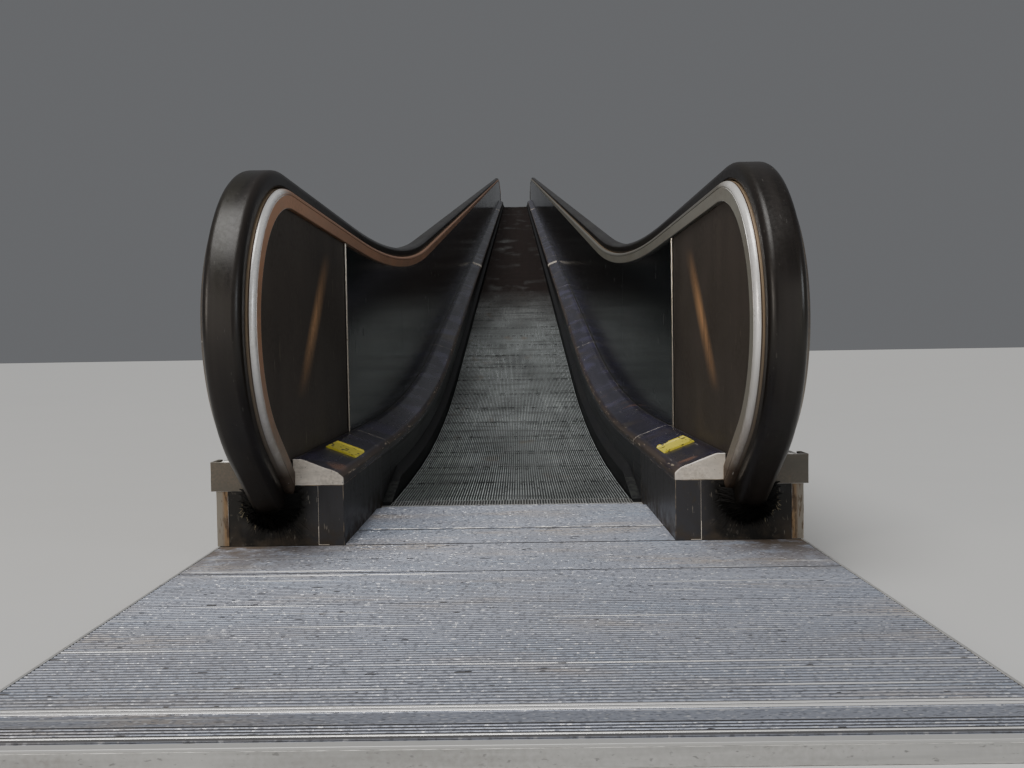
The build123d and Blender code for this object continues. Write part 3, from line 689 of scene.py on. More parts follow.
def cladding_steel(colour):
    made = Finish("cladding_steel", colour, 0.36, 0.7)
    made.lay(made.attribute("tone"), tinted(colour, 0.9), 0.38)
    made.streaked((30, 1.2, 260), 0.4, 0.7, tinted(colour, 0.8), 0.42)
    made.grimy((1.5, 0.5, 1.5), 30, 0.5, (0.24, 0.22, 0.19), 0.6, 0.3)
    made.streaked((30, 60, 4), 0.64, 0.74, (0.28, 0.25, 0.2), 0.55)
    made.edges(20, 0.8, (0.75, 0.74, 0.7), 0.25)
    made.done((60, 4, 900), 0.08, 0.0003)


def painted(name, colour, chipped):
    """Structural paint with dust, runs and chipped edges."""
    made = Finish(name, colour, 0.45)
    made.streaked((5, 3, 1.2), 0.4, 0.7, tinted(colour, 0.75), 0.52)
    made.grimy((3, 3, 3), 50, 0.6, (0.22, 0.2, 0.17), 0.75)
    made.edges(24, 1.0, chipped, 0.6, 0.3)
    made.done((220, 220, 220), 0.18, 0.0004)


def base_paint():
    """Black sheet, sooty round the inlet, scuffed brown low down and rubbed at its corners."""
    made = Finish("base_paint", (0.044, 0.043, 0.0465), 0.4, Specular_IOR_Level=0.35)
    made.streaked((30, 30, 9), 0.45, 0.7, (0.037, 0.0362, 0.0385), 0.45)
    inlet = made.above("aside", 0.5, 0.54)
    made.streaked((9, 9, 9), 0.2, 0.45, (0.009, 0.0078, 0.0066), 0.5, within=inlet)
    low = made.below("Z", 0.0, 0.07)
    made.streaked((24, 24, 30), 0.4, 0.62, (0.05, 0.038, 0.027), 0.75, within=low)
    made.streaked((90, 90, 70), 0.64, 0.7, (0.05, 0.044, 0.037), 0.6)
    made.streaked((160, 160, 30), 0.7, 0.74, (0.17, 0.155, 0.13), 0.55)
    made.edges(26, 1.0, (0.5, 0.4, 0.28), 0.4, 0.6)
    made.done((150, 150, 150), 0.15, 0.0004)


def panel_glass(colour):
    """Dark back-painted glass with faint wipes and smears."""
    made = Finish("panel_glass", colour, 0.14, Specular_IOR_Level=0.4)
    made.streaked((6, 2.2, 1.5), 0.5, 0.8, tinted(colour, 2.2), 0.14)
    made.grimy((3, 1.3, 3), 45, 0.25, (0.016, 0.017, 0.016), 0.3)
    made.streaked((200, 22, 12), 0.7, 0.74, (0.06, 0.06, 0.058), 0.35)
    made.edges(60, 0.6, (0.09, 0.11, 0.11), 0.2)
    made.done()


def newel_bronze(colour, sheen):
    """Dark bronze sheet brushed upright, with a soft warm painted reflection that leans to the
    back.
    """
    made = Finish("newel_bronze", colour, 0.5, 0.2, Specular_IOR_Level=0.22)
    made.streaked((20, 150, 1.2), 0.35, 0.7, tinted(colour, 0.84), 0.46)
    made.streaked((3, 3.5, 0.9), 0.45, 0.7, tinted(colour, 0.7), 0.48)
    # Painted reflection: a warm band that leans back, at mid height on the panels.
    lean, level = 0.85, 0.6
    middle = BASE_FRONT + 0.31 - lean * level
    leaning = maths(made.tree, "MULTIPLY", made.axis("Z"), -lean)
    along = maths(made.tree, "ADD", made.axis("Y"), leaning)
    across = made.both(
        made.above(along, middle - 0.06, middle), made.below(along, middle, middle + 0.08)
    )
    upright = made.both(made.above("Z", 0.38, 0.58), made.below("Z", 0.62, 0.82))
    lit = made.both(across, upright)
    made.streaked((20, 60, 2), 0.1, 0.5, sheen, 0.38, within=lit)
    made.grimy((5, 5, 5), 70, 0.4, (0.02, 0.017, 0.013), 0.6, 0.4)
    made.streaked((120, 70, 9), 0.69, 0.74, (0.2, 0.17, 0.13), 0.45)
    made.done((200, 900, 6), 0.14, 0.0003)


def handrail_rubber(colour):
    made = Finish("handrail_rubber", colour, 0.27, Specular_IOR_Level=0.36)
    made.streaked((35, 2.5, 2.5), 0.4, 0.72, tinted(colour, 1.9), 0.34)
    made.streaked((9, 1.2, 1.2), 0.5, 0.75, (0.02, 0.019, 0.012), 0.28)
    made.grimy((6, 2, 3), 110, 0.45, (0.026, 0.022, 0.018), 0.6)
    made.streaked((140, 40, 40), 0.68, 0.74, (0.05, 0.046, 0.042), 0.5)
    made.done((500, 120, 500), 0.08, 0.0003)


def guide_cap(made, left, copper, shoulder, half):
    """Painted shade and reflection on a guide's cap, and its dark and brown shoulders."""
    # The cap's white is a painted highlight over the newels. Along the run it is laid grey-beige as
    # painted shade, and warmer on the left guide as a painted reflection.
    run = made.band("Y", NEWEL_STATION, ROUTE_LENGTH - NEWEL_STATION, 0.12)
    made.lay(run, (0.27, 0.265, 0.235), 0.4, 0.6)
    made.lay(made.both(run, left), tinted(copper, 0.7), 0.4)
    off = maths(made.tree, "SUBTRACT", made.axis("aside"), BALUSTRADE)
    out = maths(made.tree, "ABSOLUTE", off)
    # Painted shadow: a dark brown line on the shoulder just past the handrail's edge. Under the
    # handrail the cap is brown; past the edge on the outer side it is darker grey.
    made.lay(made.below(out, shoulder - 0.0006, shoulder), (0.06, 0.034, 0.02), 0.5, 0.3)
    made.lay(made.below(out, half + 0.0026, half + 0.0032), (0.36, 0.27, 0.18), 0.45, 0.3)
    made.lay(made.above(off, half + 0.002, half + 0.003), (0.1, 0.092, 0.085), 0.45, 0.6)


def guide_steel(name, colour, copper, roughness, cap=None):
    """Satin steel, a painted warm reflection on the left and painted shade at the newels' feet."""
    made = Finish(name, colour, roughness, 0.25 if cap else 0.5)
    left = made.below("X", -0.01, 0.01)
    # Painted warm reflection: the left guide's flat sides are laid orange, with orange streaks over
    # them.
    if not cap:
        made.lay(left, copper)
    made.streaked((60, 2.5, 8), 0.4, 0.7, tinted(colour, 0.8), roughness + 0.1)
    if cap:
        guide_cap(made, left, copper, *cap)
    else:
        made.streaked((60, 2.5, 8), 0.3, 0.6, copper, within=left)
    # Painted shade: the steel is streaked darker below 0.56 m on the newels, and is dark brown
    # lowest, below 0.25 m.
    foot = made.below("Z", 0.2, 0.56)
    made.streaked((60, 20, 6), -0.2, 0.5, (0.36, 0.32, 0.27), 0.5, within=foot)
    made.lay(made.below("Z", 0.19, 0.25), (0.07, 0.05, 0.036), 0.7, 0.1)
    made.grimy((5, 3, 4), 100, 0.4, (0.24, 0.17, 0.11), 0.55, 0.5)
    made.streaked((150, 16, 60), 0.72, 0.77, (0.7, 0.67, 0.6), 0.25)
    made.done((800, 8, 60), 0.08, 0.0003)


def brush_black():
    made = Finish("brush_black", (0.004, 0.004, 0.004), 0.7, Specular_IOR_Level=0.2)
    made.grimy((30, 30, 30), 300, 0.8, (0.02, 0.017, 0.014), 0.85)
    made.done()


def lint():
    made = Finish("lint", (0.26, 0.23, 0.16), 0.95, Specular_IOR_Level=0.1)
    made.streaked((200, 200, 200), 0.4, 0.6, (0.09, 0.075, 0.05), 0.95)
    made.done()


def yellow_patch(colour):
    """A worn plain yellow patch, rubbed through to the dark sheet in places."""
    made = Finish("yellow_patch", colour, 0.42)
    made.grimy((25, 12, 25), 150, 0.35, tinted(colour, 0.45), 0.6)
    made.streaked((60, 40, 60), 0.6, 0.63, (0.03, 0.026, 0.024), 0.45)
    made.edges(90, 1.0, (0.1, 0.09, 0.03), 0.6)
    made.done((300, 300, 300), 0.1, 0.0003)


def dark_gap():
    made = Finish("dark_gap", (0.006, 0.006, 0.006), 0.8)
    made.grimy((9, 9, 9), 120, 0.8, (0.03, 0.026, 0.02), 0.9)
    made.done()


def stud_steel(colour):
    made = Finish("stud_steel", colour, 0.22, 1.0)
    made.streaked((200, 200, 3), 0.4, 0.7, tinted(colour, 0.6), 0.34)
    made.grimy((20, 20, 6), 150, 0.5, (0.16, 0.12, 0.08), 0.5, 0.6)
    made.done((900, 900, 6), 0.1, 0.0002)


def frame_steel(colour):
    made = Finish("frame_steel", colour, 0.45, 0.4)
    made.streaked((3, 40, 60), 0.4, 0.65, tinted(colour, 0.82), 0.55)
    made.grimy((4, 4, 9), 120, 0.4, (0.14, 0.12, 0.095), 0.75, 0.2)
    made.streaked((70, 70, 160), 0.62, 0.7, tinted(colour, 0.5), 0.55)
    made.edges(40, 0.9, (0.8, 0.79, 0.76), 0.3)
    made.done((260, 260, 260), 0.15, 0.0003)


def colour_property(name, description, default):
    return FloatVectorProperty(
        name=name, description=description, default=default, size=3, subtype="COLOR",
        min=0.0, max=1.0,
    )


def length_property(name, description, default):
    return FloatProperty(name=name, description=description, default=default, unit="LENGTH")


def angle_property(name, description, degrees):
    return FloatProperty(
        name=name, description=description, default=radians(degrees), subtype="ANGLE"
    )


class WalkwayPlates(bpy.types.PropertyGroup):
    rib_pitch: length_property("Rib pitch", "Distance between ribs of the plates", 0.0112)
    rib_width: length_property("Rib width", "Width of a rib at its foot", 0.0074)
    rib_height: length_property("Rib height", "Depth of the grooves between ribs", 0.0014)
    colour: colour_property("Plates", "Colour of the worn aluminium", (0.455, 0.49, 0.59))
    comb_colour: colour_property("Combs", "Colour of the comb castings", (0.028, 0.029, 0.03))


class WalkwayBand(bpy.types.PropertyGroup):
    pitch: length_property("Pallet pitch", "Nominal length of one pallet", 0.4)
    gap: length_property("Pallet gap", "Gap between two pallets", 0.004)
    thickness: length_property("Pallet thickness", "From the rib tops down", 0.026)
    ribs: IntProperty(name="Ribs", description="Ribs across a pallet", default=88, min=8)
    rib_share: FloatProperty(
        name="Rib share", description="Rib width as a share of the rib pitch", default=0.36
    )
    groove: length_property("Groove depth", "Depth of the grooves between ribs", 0.01)
    stagger: length_property("Stagger", "How far every other rib reaches into the gap", 0.0015)
    colour: colour_property("Rib tops", "Colour of the worn rib tops", (0.48, 0.515, 0.515))


class WalkwayDecks(bpy.types.PropertyGroup):
    sheet: length_property("Sheet", "Thickness of the bent sheets", 0.004)
    overrun: length_property("Overrun", "How far a curved length runs past its bend", 0.215)
    joint_pitch: length_property("Joint pitch", "Nominal length of one deck sheet", SHEET_LENGTH)
    joint_gap: length_property("Joint gap", "Open joint between two sheets", 0.0015)
    cover_station: length_property("Cover", "Station of the bright joint covers", 10.45)
    patch_station: length_property("Patch", "Station of the yellow patches' middle", 1.53)
    colour: colour_property("Decks", "Colour of the coated sheets", (0.023, 0.021, 0.04))
    worn: colour_property("Worn", "Colour of the rubbed nose", (0.082, 0.064, 0.053))
    patch: colour_property("Patches", "Colour of the yellow patches", (0.76, 0.66, 0.07))
    caps: colour_property("End caps", "Colour of the bright end caps", (0.9, 0.82, 0.71))


class WalkwayBalustrade(bpy.types.PropertyGroup):
    rail_half: length_property("Half width", "Half of the handrail's width", 0.044)
    rail_depth: length_property("Depth", "Depth of the handrail", 0.045)
    cap_half: length_property("Cap half width", "Half of the guide cap's width", 0.063)
    cap_depth: length_property(
        "Cap depth", "Underside of the cap below the rail's face", CAP_DEPTH
    )
    shoulder: length_property("Shoulder", "Half width of the cap's flat shoulder", 0.0505)
    rubber: colour_property("Handrail", "Colour of the handrail", (0.0095, 0.0075, 0.0065))
    # The cap's white stands for a painted highlight; along the run the finish lays it grey.
    cap: colour_property("Cap", "Colour of the rounded cap", (0.97, 0.96, 0.94))
    side: colour_property("Cap side", "Colour of the cap's flat side", (0.46, 0.45, 0.39))
    # A painted warm reflection, laid on the left guide's flat sides and along its cap.
    copper: colour_property("Warm_reflection", "Colour of the left guide's painted_reflection", (0.74, 0.4, 0.24))
    bronze: colour_property("Newel", "Colour of the newel panels", (0.108, 0.091, 0.077))
    # A warm painted reflection, laid into the newel panels' colour.
    sheen: colour_property("Sheen", "Warm sheen of the newel panels", (0.7, 0.4, 0.2))
    glass: colour_property("Panels", "Colour of the dark panels", (0.006, 0.0088, 0.0092))


class WalkwayHousing(bpy.types.PropertyGroup):
    cladding: colour_property("Cladding", "Colour of the side sheets", (0.5, 0.48, 0.44))
    truss: colour_property("Housing", "Paint of the housing's underside", (0.16, 0.17, 0.18))
    support: colour_property("Supports", "Paint of the supports", (0.2, 0.22, 0.235))
    screw_radius: length_property("Screws", "Radius of a screw head", 0.006)


class WalkwayStage(bpy.types.PropertyGroup):
    camera: FloatVectorProperty(
        name="Camera", description="Where the camera stands", default=(0.03, -18.1036, 0.5456),
        subtype="TRANSLATION",
    )
    pitch: angle_property("Pitch", "How far the camera looks up", -2.227)
    yaw: angle_property("Yaw", "How far the camera looks to the right", -0.4555)
    roll: angle_property("Roll", "How far the camera is turned clockwise", -0.9057)
    lens: FloatProperty(name="Lens", description="Focal length in millimetres", default=30.61)
    floor: colour_property("Floor", "Colour of the pale floor", (0.6, 0.6, 0.59))
    sky: FloatProperty(name="Sky", description="Strength of the even light", default=0.16)


class WALKWAY_OT_finishes(bpy.types.Operator):
    """Make the shared node groups and the material of each finish"""
    bl_idname = "walkway.finishes"
    bl_label = "Make finishes"

    def execute(self, context):
        scene = context.scene
        plates, band, decks = scene.walkway_plates, scene.walkway_band, scene.walkway_decks
        balustrade, housing = scene.walkway_balustrade, scene.walkway_housing
        for group in GROUPS:
            new_group(*group)
        plate_metal(plates.colour[:])
        comb_metal(plates.comb_colour[:], 2 * PALLET_HALF / band.ribs)
        pallet_metal(band.colour[:], band_pitch(band))
        skirt_black()
        guard_black()
        deck_black(decks.colour[:], decks.worn[:])
        cap_steel(decks.caps[:])
        cladding_steel(housing.cladding[:])
        painted("truss_paint", housing.truss[:], (0.1, 0.06, 0.04))
        painted("support_paint", housing.support[:], (0.14, 0.07, 0.04))
        base_paint()
        panel_glass(balustrade.glass[:])
        newel_bronze(balustrade.bronze[:], balustrade.sheen[:])
        handrail_rubber(balustrade.rubber[:])
        copper, cap = balustrade.copper[:], (balustrade.shoulder, balustrade.rail_half)
        guide_steel("guide_steel", balustrade.cap[:], copper, 0.22, cap)
        guide_steel("guide_side", balustrade.side[:], copper, 0.36)
        brush_black()
        lint()
        yellow_patch(decks.patch[:])
        dark_gap()
        stud_steel((0.78, 0.72, 0.62))
        frame_steel((0.5, 0.5, 0.49))
        return {"FINISHED"}


def band_pitch(band):
    """Pitch of the pallets, so that a whole number fills the route between the combs."""
    length = ROUTE_LENGTH - 2 * PALLET_START
    return length / round(length / band.pitch)


def rib(bm, half, middle, foot, low, crest):
    """A rib across a plate; foot is half of its width there, and crest its top's share of that."""
    made = block(bm, (-half, middle - foot, low), (half, middle + foot, 0))
    top = [vert for vert in made if vert.co.z > WALK - TINY]
    matrix = FRONT @ Matrix.Translation((0, middle, 0))
    bmesh.ops.scale(bm, verts=top, vec=(1, crest, 1), space=matrix.inverted())


def plate(bm, settings, start, end, half):
    """A plate with ribs across it; half is half of its width."""
    top = -settings.rib_height
    block(bm, (-half, start, -PLATE), (half, end, top))
    count = int((end - start) / settings.rib_pitch)
    first = (start + end - (count - 1) * settings.rib_pitch) / 2
    foot, crest, low = settings.rib_width / 2, 0.62, top - settings.rib_height / 4
    for number in range(count):
        rib(bm, half, first + number * settings.rib_pitch, foot, low, crest)


class WALKWAY_OT_plates(bpy.types.Operator):
    """Make the ribbed floor plates, comb plates and thresholds of both landings"""
    bl_idname = "walkway.plates"
    bl_label = "Make plates"

    def execute(self, context):
        settings = context.scene.walkway_plates
        narrow = SKIRT_FACE - PLATE_SEAM
        comb_plate_end = COMB_START - PLATE_SEAM
        corner = place(comb_plate_end).translation
        for end in ("lower", "upper"):
            bm = bmesh.new()
            for start, stop in zip(PLATE_SEAMS, PLATE_SEAMS[1:]):
                wide_end = min(stop, BASE_FRONT) - PLATE_SEAM
                plate(bm, settings, start, wide_end, PLATE_HALF)
                if stop > BASE_FRONT:
                    plate(bm, settings, wide_end, stop - PLATE_SEAM, narrow)
            self.finish(bm, end, "ribbed_plates_", "floor_plates_")
            bm = bmesh.new()
            plate(bm, settings, PLATE_SEAMS[-1], comb_plate_end, narrow)
            for side in (-1, 1):
                cut_off(bm, corner + side * Vector((PALLET_HALF, 0, 0)), (side, 1, 0))
            self.finish(bm, end, "ribbed_comb_plate_", "comb_plate_")
        self.thresholds(settings)
        softened("landing_frames", 0.0008, "frame_steel")
        return {"FINISHED"}

    def finish(self, bm, end, name, node_name):
        if end == "upper":
            bmesh.ops.transform(bm, matrix=TO_UPPER, verts=bm.verts[:])
        piece(bm, name + end, "plate_metal", [node_name + end])

    def thresholds(self, settings):
        """A ribbed nosing that slopes down, a smooth band behind it, and a strip past a gap."""
        half, bed = PLATE_HALF, -PLATE / 2
        ribs, rib_pitch, foot, crest = 4, 0.0093, settings.rib_width / 2.4, 0.6
        strip_width, back_lip = 0.008, 0.002
        bm = bmesh.new()
        nose = block(bm, (-half, 0, -PLATE), (half, NOSING_END, -settings.rib_height))
        lip = [v for v in nose if v.co.y < TINY - HALF_LENGTH and v.co.z > WALK + bed]
        bmesh.ops.translate(bm, verts=lip, vec=(0, 0, bed))
        block(bm, (-half, RIBBED_END, bed), (half, NOSING_END, -settings.rib_height / 2))
        block(bm, (-half, NOSING_END - back_lip, bed), (half, NOSING_END, 0))
        for number in range(ribs):
            rib(bm, half, FIRST_RIB + number * rib_pitch, foot, bed, crest)
        block(bm, (-half, STRIP_FRONT, -PLATE), (half, STRIP_FRONT + strip_width, 0))
        bevelled(bm, 0.0006, 1)
        repeated(bm, TO_UPPER)
        piece(bm, "ribbed_thresholds", "plate_metal", ["thresholds"])


class WALKWAY_OT_band(bpy.types.Operator):
    """Make the ribbed pallets of the whole upper run"""
    bl_idname = "walkway.band"
    bl_label = "Make pallet band"

    def execute(self, context):
        settings = context.scene.walkway_band
        pitch = band_pitch(settings)
        count = round((ROUTE_LENGTH - 2 * PALLET_START) / pitch)
        one = self.pallet(settings, pitch)
        bm = bmesh.new()
        for number in range(count):
            station = PALLET_START + (number + 0.5) * pitch
            lift = self.lift(station, pitch / 2)
            done = len(bm.verts)
            bm.from_mesh(one)
            bm.verts.ensure_lookup_table()
            matrix = place(station) @ Matrix.Translation((0, 0, lift))
            bmesh.ops.transform(bm, matrix=matrix, verts=bm.verts[done:])
        bpy.data.meshes.remove(one)
        piece(bm, "ribbed_pallets", "pallet_metal", ["pallets", "comb_pallets"])
        for end in ("lower", "upper"):
            softened("comb_" + end, 0.0004, "comb_metal", segments=1)
        return {"FINISHED"}

    def pallet(self, settings, pitch):
        """The mesh of one pallet, with its top's middle at the origin."""
        half = pitch / 2 - settings.gap / 2
        low, bed = -settings.thickness, -settings.groove
        rib_pitch = 2 * PALLET_HALF / settings.ribs
        width = rib_pitch * settings.rib_share
        flat = Matrix.Identity(4)
        bm = bmesh.new()
        block(bm, (-PALLET_HALF, -half, low), (PALLET_HALF, half, bed), flat)
        for number in range(settings.ribs):
            middle = -PALLET_HALF + (number + 0.5) * rib_pitch
            reach = half + (settings.stagger if number % 2 else -settings.stagger)
            low = (middle - width / 2, -reach, bed - settings.gap / 8)
            block(bm, low, (middle + width / 2, reach, 0), flat)
        return new_mesh("pallet", bm)

    def lift(self, station, half):
        """How far a flat pallet stands up to clear its bed in a bend."""
        local = place(station).inverted()
        ends = [(local @ place(end).translation).z for end in (station - half, station + half)]
        return max(0.0, *ends)


def deck_joints(settings, start):
    """Stations of the joints, from end to end: curved lengths run a little past their bends."""
    low = STOPS[1] + settings.overrun
    high = STOPS[2] - settings.overrun
    count = round((high - low) / settings.joint_pitch)
    straight = [low + n * (high - low) / count for n in range(count + 1)]
    near, far = STOPS[0] - settings.overrun, STOPS[3] + settings.overrun
    return [start, near, *straight, far, ROUTE_LENGTH - start]


def both_sides(bm, name, finish, node_name):
    """Two pieces from one made on the right: that one and its mirror image."""
    other = bm.copy()
    bmesh.ops.transform(other, matrix=TO_LEFT, verts=other.verts[:])
    for made, side in ((bm, "_right"), (other, "_left")):
        piece(made, name + side, finish, [node_name + side])


class WALKWAY_OT_decks(bpy.types.Operator):
    """Make the bent sheets beside the band, the skirts and what lies on them"""
    bl_idname = "walkway.decks"
    bl_label = "Make decks and skirts"

    def execute(self, context):
        settings = context.scene.walkway_decks
        joints = deck_joints(settings, BASE_FRONT + 0.006)
        self.inner_decks(settings, joints)
        self.outer_decks(settings, joints)
        self.skirts(settings)
        self.covers(settings)
        self.patches(settings)
        self.outer_caps()
        softened("deck_end_caps", 0.0014, "cap_steel", segments=3)
        return {"FINISHED"}

    def inner_decks(self, settings, joints):
        sheet = settings.sheet
        foot_x, foot_height = SLOPE_FOOT
        corners = [
            (DECK_EDGE, DECK_TOP, 0), (SLOPE_HEAD, DECK_TOP, 0.006), (foot_x, foot_height, 0.006),
            (SKIRT_FACE, NOSE, 0.004), (SKIRT_FACE, SKIRT_TOP, 0),
            (SKIRT_FACE + sheet, SKIRT_TOP, 0), (SKIRT_FACE + sheet, NOSE - sheet / 2, 0),
            (foot_x + sheet / 2, foot_height - sheet, 0),
            (SLOPE_HEAD + sheet / 2, DECK_TOP - sheet, 0), (DECK_EDGE, DECK_TOP - sheet, 0),
        ]
        bm = mouldings(corners, joints, settings.joint_gap)
        both_sides(bm, "inner_deck_sheets", "deck_black", "inner_deck")

    def outer_decks(self, settings, joints):
        sheet = settings.sheet
        inner, low = 2 * BALUSTRADE - DECK_EDGE, OUTER_DECK_LOW
        edge = inner + 0.04
        corners = [
            (inner, DECK_TOP, 0), (edge, DECK_TOP, 0.003),
            (HALF_WIDTH, DECK_TOP - sheet, 0.018), (HALF_WIDTH, low, 0),
            (HALF_WIDTH - sheet, low, 0), (HALF_WIDTH - sheet, DECK_TOP - 2 * sheet, 0.014),
            (edge, DECK_TOP - sheet, 0), (inner, DECK_TOP - sheet, 0),
        ]
        bm = mouldings(corners, joints, settings.joint_gap)
        both_sides(bm, "outer_deck_sheets", "cladding_steel", "outer_deck")

    def skirts(self, settings):
        """Upright sheets, and guards with a sloping top and tapered ends along their feet."""
        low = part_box("skirt_right")[0].z - WALK
        back = SKIRT_FACE + 0.01
        corners = [
            (SKIRT_FACE, low, 0), (SKIRT_FACE, SKIRT_TOP, 0), (back, SKIRT_TOP, 0), (back, low, 0)
        ]
        joints = deck_joints(settings, PALLET_START)
        bm = mouldings(corners, joints, settings.joint_gap)
        both_sides(bm, "skirt_sheets", "skirt_black", "skirt")
        inner, edge, top, taper = PALLET_HALF + 0.004, 0.055, 0.08, 0.35
        corners = [
            (inner, low, 0), (inner, edge, 0.002), (SKIRT_FACE, top, 0), (SKIRT_FACE, low, 0)
        ]
        bm = mouldings(corners, joints, settings.joint_gap)
        foot = place(PALLET_START).translation
        for end in (1, -1):
            cut_off(bm, foot, (0, -end * top, taper))
            foot = TO_UPPER @ foot
        repeated(bm, TO_LEFT)
        piece(bm, "guard_strips", "guard_black", ["skirt_guards"])

    def covers(self, settings):
        """Bright saddles over one joint of each inner deck."""
        lift, half_length = 0.003, 0.08
        low = SKIRT_TOP + 0.004
        foot_x, foot_height = SLOPE_FOOT
        corners = [
            (SLOPE_HEAD, DECK_TOP + lift, 0.005), (foot_x, foot_height + lift, 0.004),
            (SKIRT_FACE - lift, NOSE, 0.003), (SKIRT_FACE - lift, low, 0),
            (SKIRT_FACE + lift / 2, low, 0), (SKIRT_FACE + lift / 2, NOSE, 0),
            (foot_x, foot_height - lift / 2, 0), (SLOPE_HEAD, DECK_TOP - lift / 2, 0),
        ]
        bm = bmesh.new()
        for station in (settings.cover_station, ROUTE_LENGTH - settings.cover_station):
            moulding(bm, corners, station - half_length, station + half_length)
        repeated(bm, TO_LEFT)
        piece(bm, "joint_covers", "cap_steel")

    def patches(self, settings):
        """Plain yellow patches on the slopes by the lower landing."""
        foot_x, foot_height = SLOPE_FOOT
        run = Vector((SLOPE_HEAD - foot_x, 0, DECK_TOP - foot_height))
        tilt = Matrix.Rotation(-atan2(run.z, run.x), 4, "Y")
        middle = (foot_x + SLOPE_HEAD) / 2 + 0.003, 0, (DECK_TOP + foot_height) / 2 + 0.001
        at = place(settings.patch_station) @ Matrix.Translation(middle) @ tilt
        half_width, half_length, sunk, thickness = 0.0485, 0.075, 0.0002, 0.0009
        bm = bmesh.new()
        block(
            bm, (-half_width, -half_length, -sunk), (half_width, half_length, thickness - sunk), at
        )
        rising = [e for e in bm.edges if abs((e.verts[0].co - e.verts[1].co).z) > 0.0008]
        bmesh.ops.bevel(
            bm, geom=rising, offset=0.006, offset_type="OFFSET", segments=4, profile=0.5,
            affect="EDGES", material=-1,
        )
        repeated(bm, TO_LEFT)
        piece(bm, "yellow_patches", "yellow_patch")

    def outer_caps(self):
        """Square plates over the outer ends of the decks, which lap the corner angles."""
        sheet, proud, depth, gap = 0.003, 0.014, 0.062, 0.0002
        low, high = OUTER_DECK_LOW + 0.001, DECK_TOP - 0.004
        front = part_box("deck_end_caps")[0].y + HALF_LENGTH - sheet
        outer = HALF_WIDTH + proud
        bm = bmesh.new()
        block(bm, (BALUSTRADE + 0.03, front, low), (outer, front + sheet, high))
        block(bm, (HALF_WIDTH + 0.0015, front + sheet + gap, low), (outer, front + depth, high))
        bevelled(bm, 0.0007)
        in_four_corners(bm)
        piece(bm, "outer_cap_plates", "cap_steel")


def newel_middle(upper):
    """Centre of the newel's round."""
    y = HALF_LENGTH - NEWEL_STATION
    z = WALK + RAIL_HEIGHT - NEWEL_RADIUS
    return Vector((0, y, z + RISE)) if upper else Vector((0, -y, z))


def dive():
    """Length of the straight run from the round to the bend inside the base."""
    steep = pi - NEWEL_TURN
    round_end = RAIL_HEIGHT - NEWEL_RADIUS - NEWEL_RADIUS * cos(steep)
    return (round_end - RETURN_HEIGHT - RETURN_RADIUS * (1 - cos(steep))) / sin(steep)


def turned_down(vector, angle):
    """A vector turned forwards and down by an angle."""
    return Matrix.Rotation(-angle, 3, "X") @ Vector(vector)


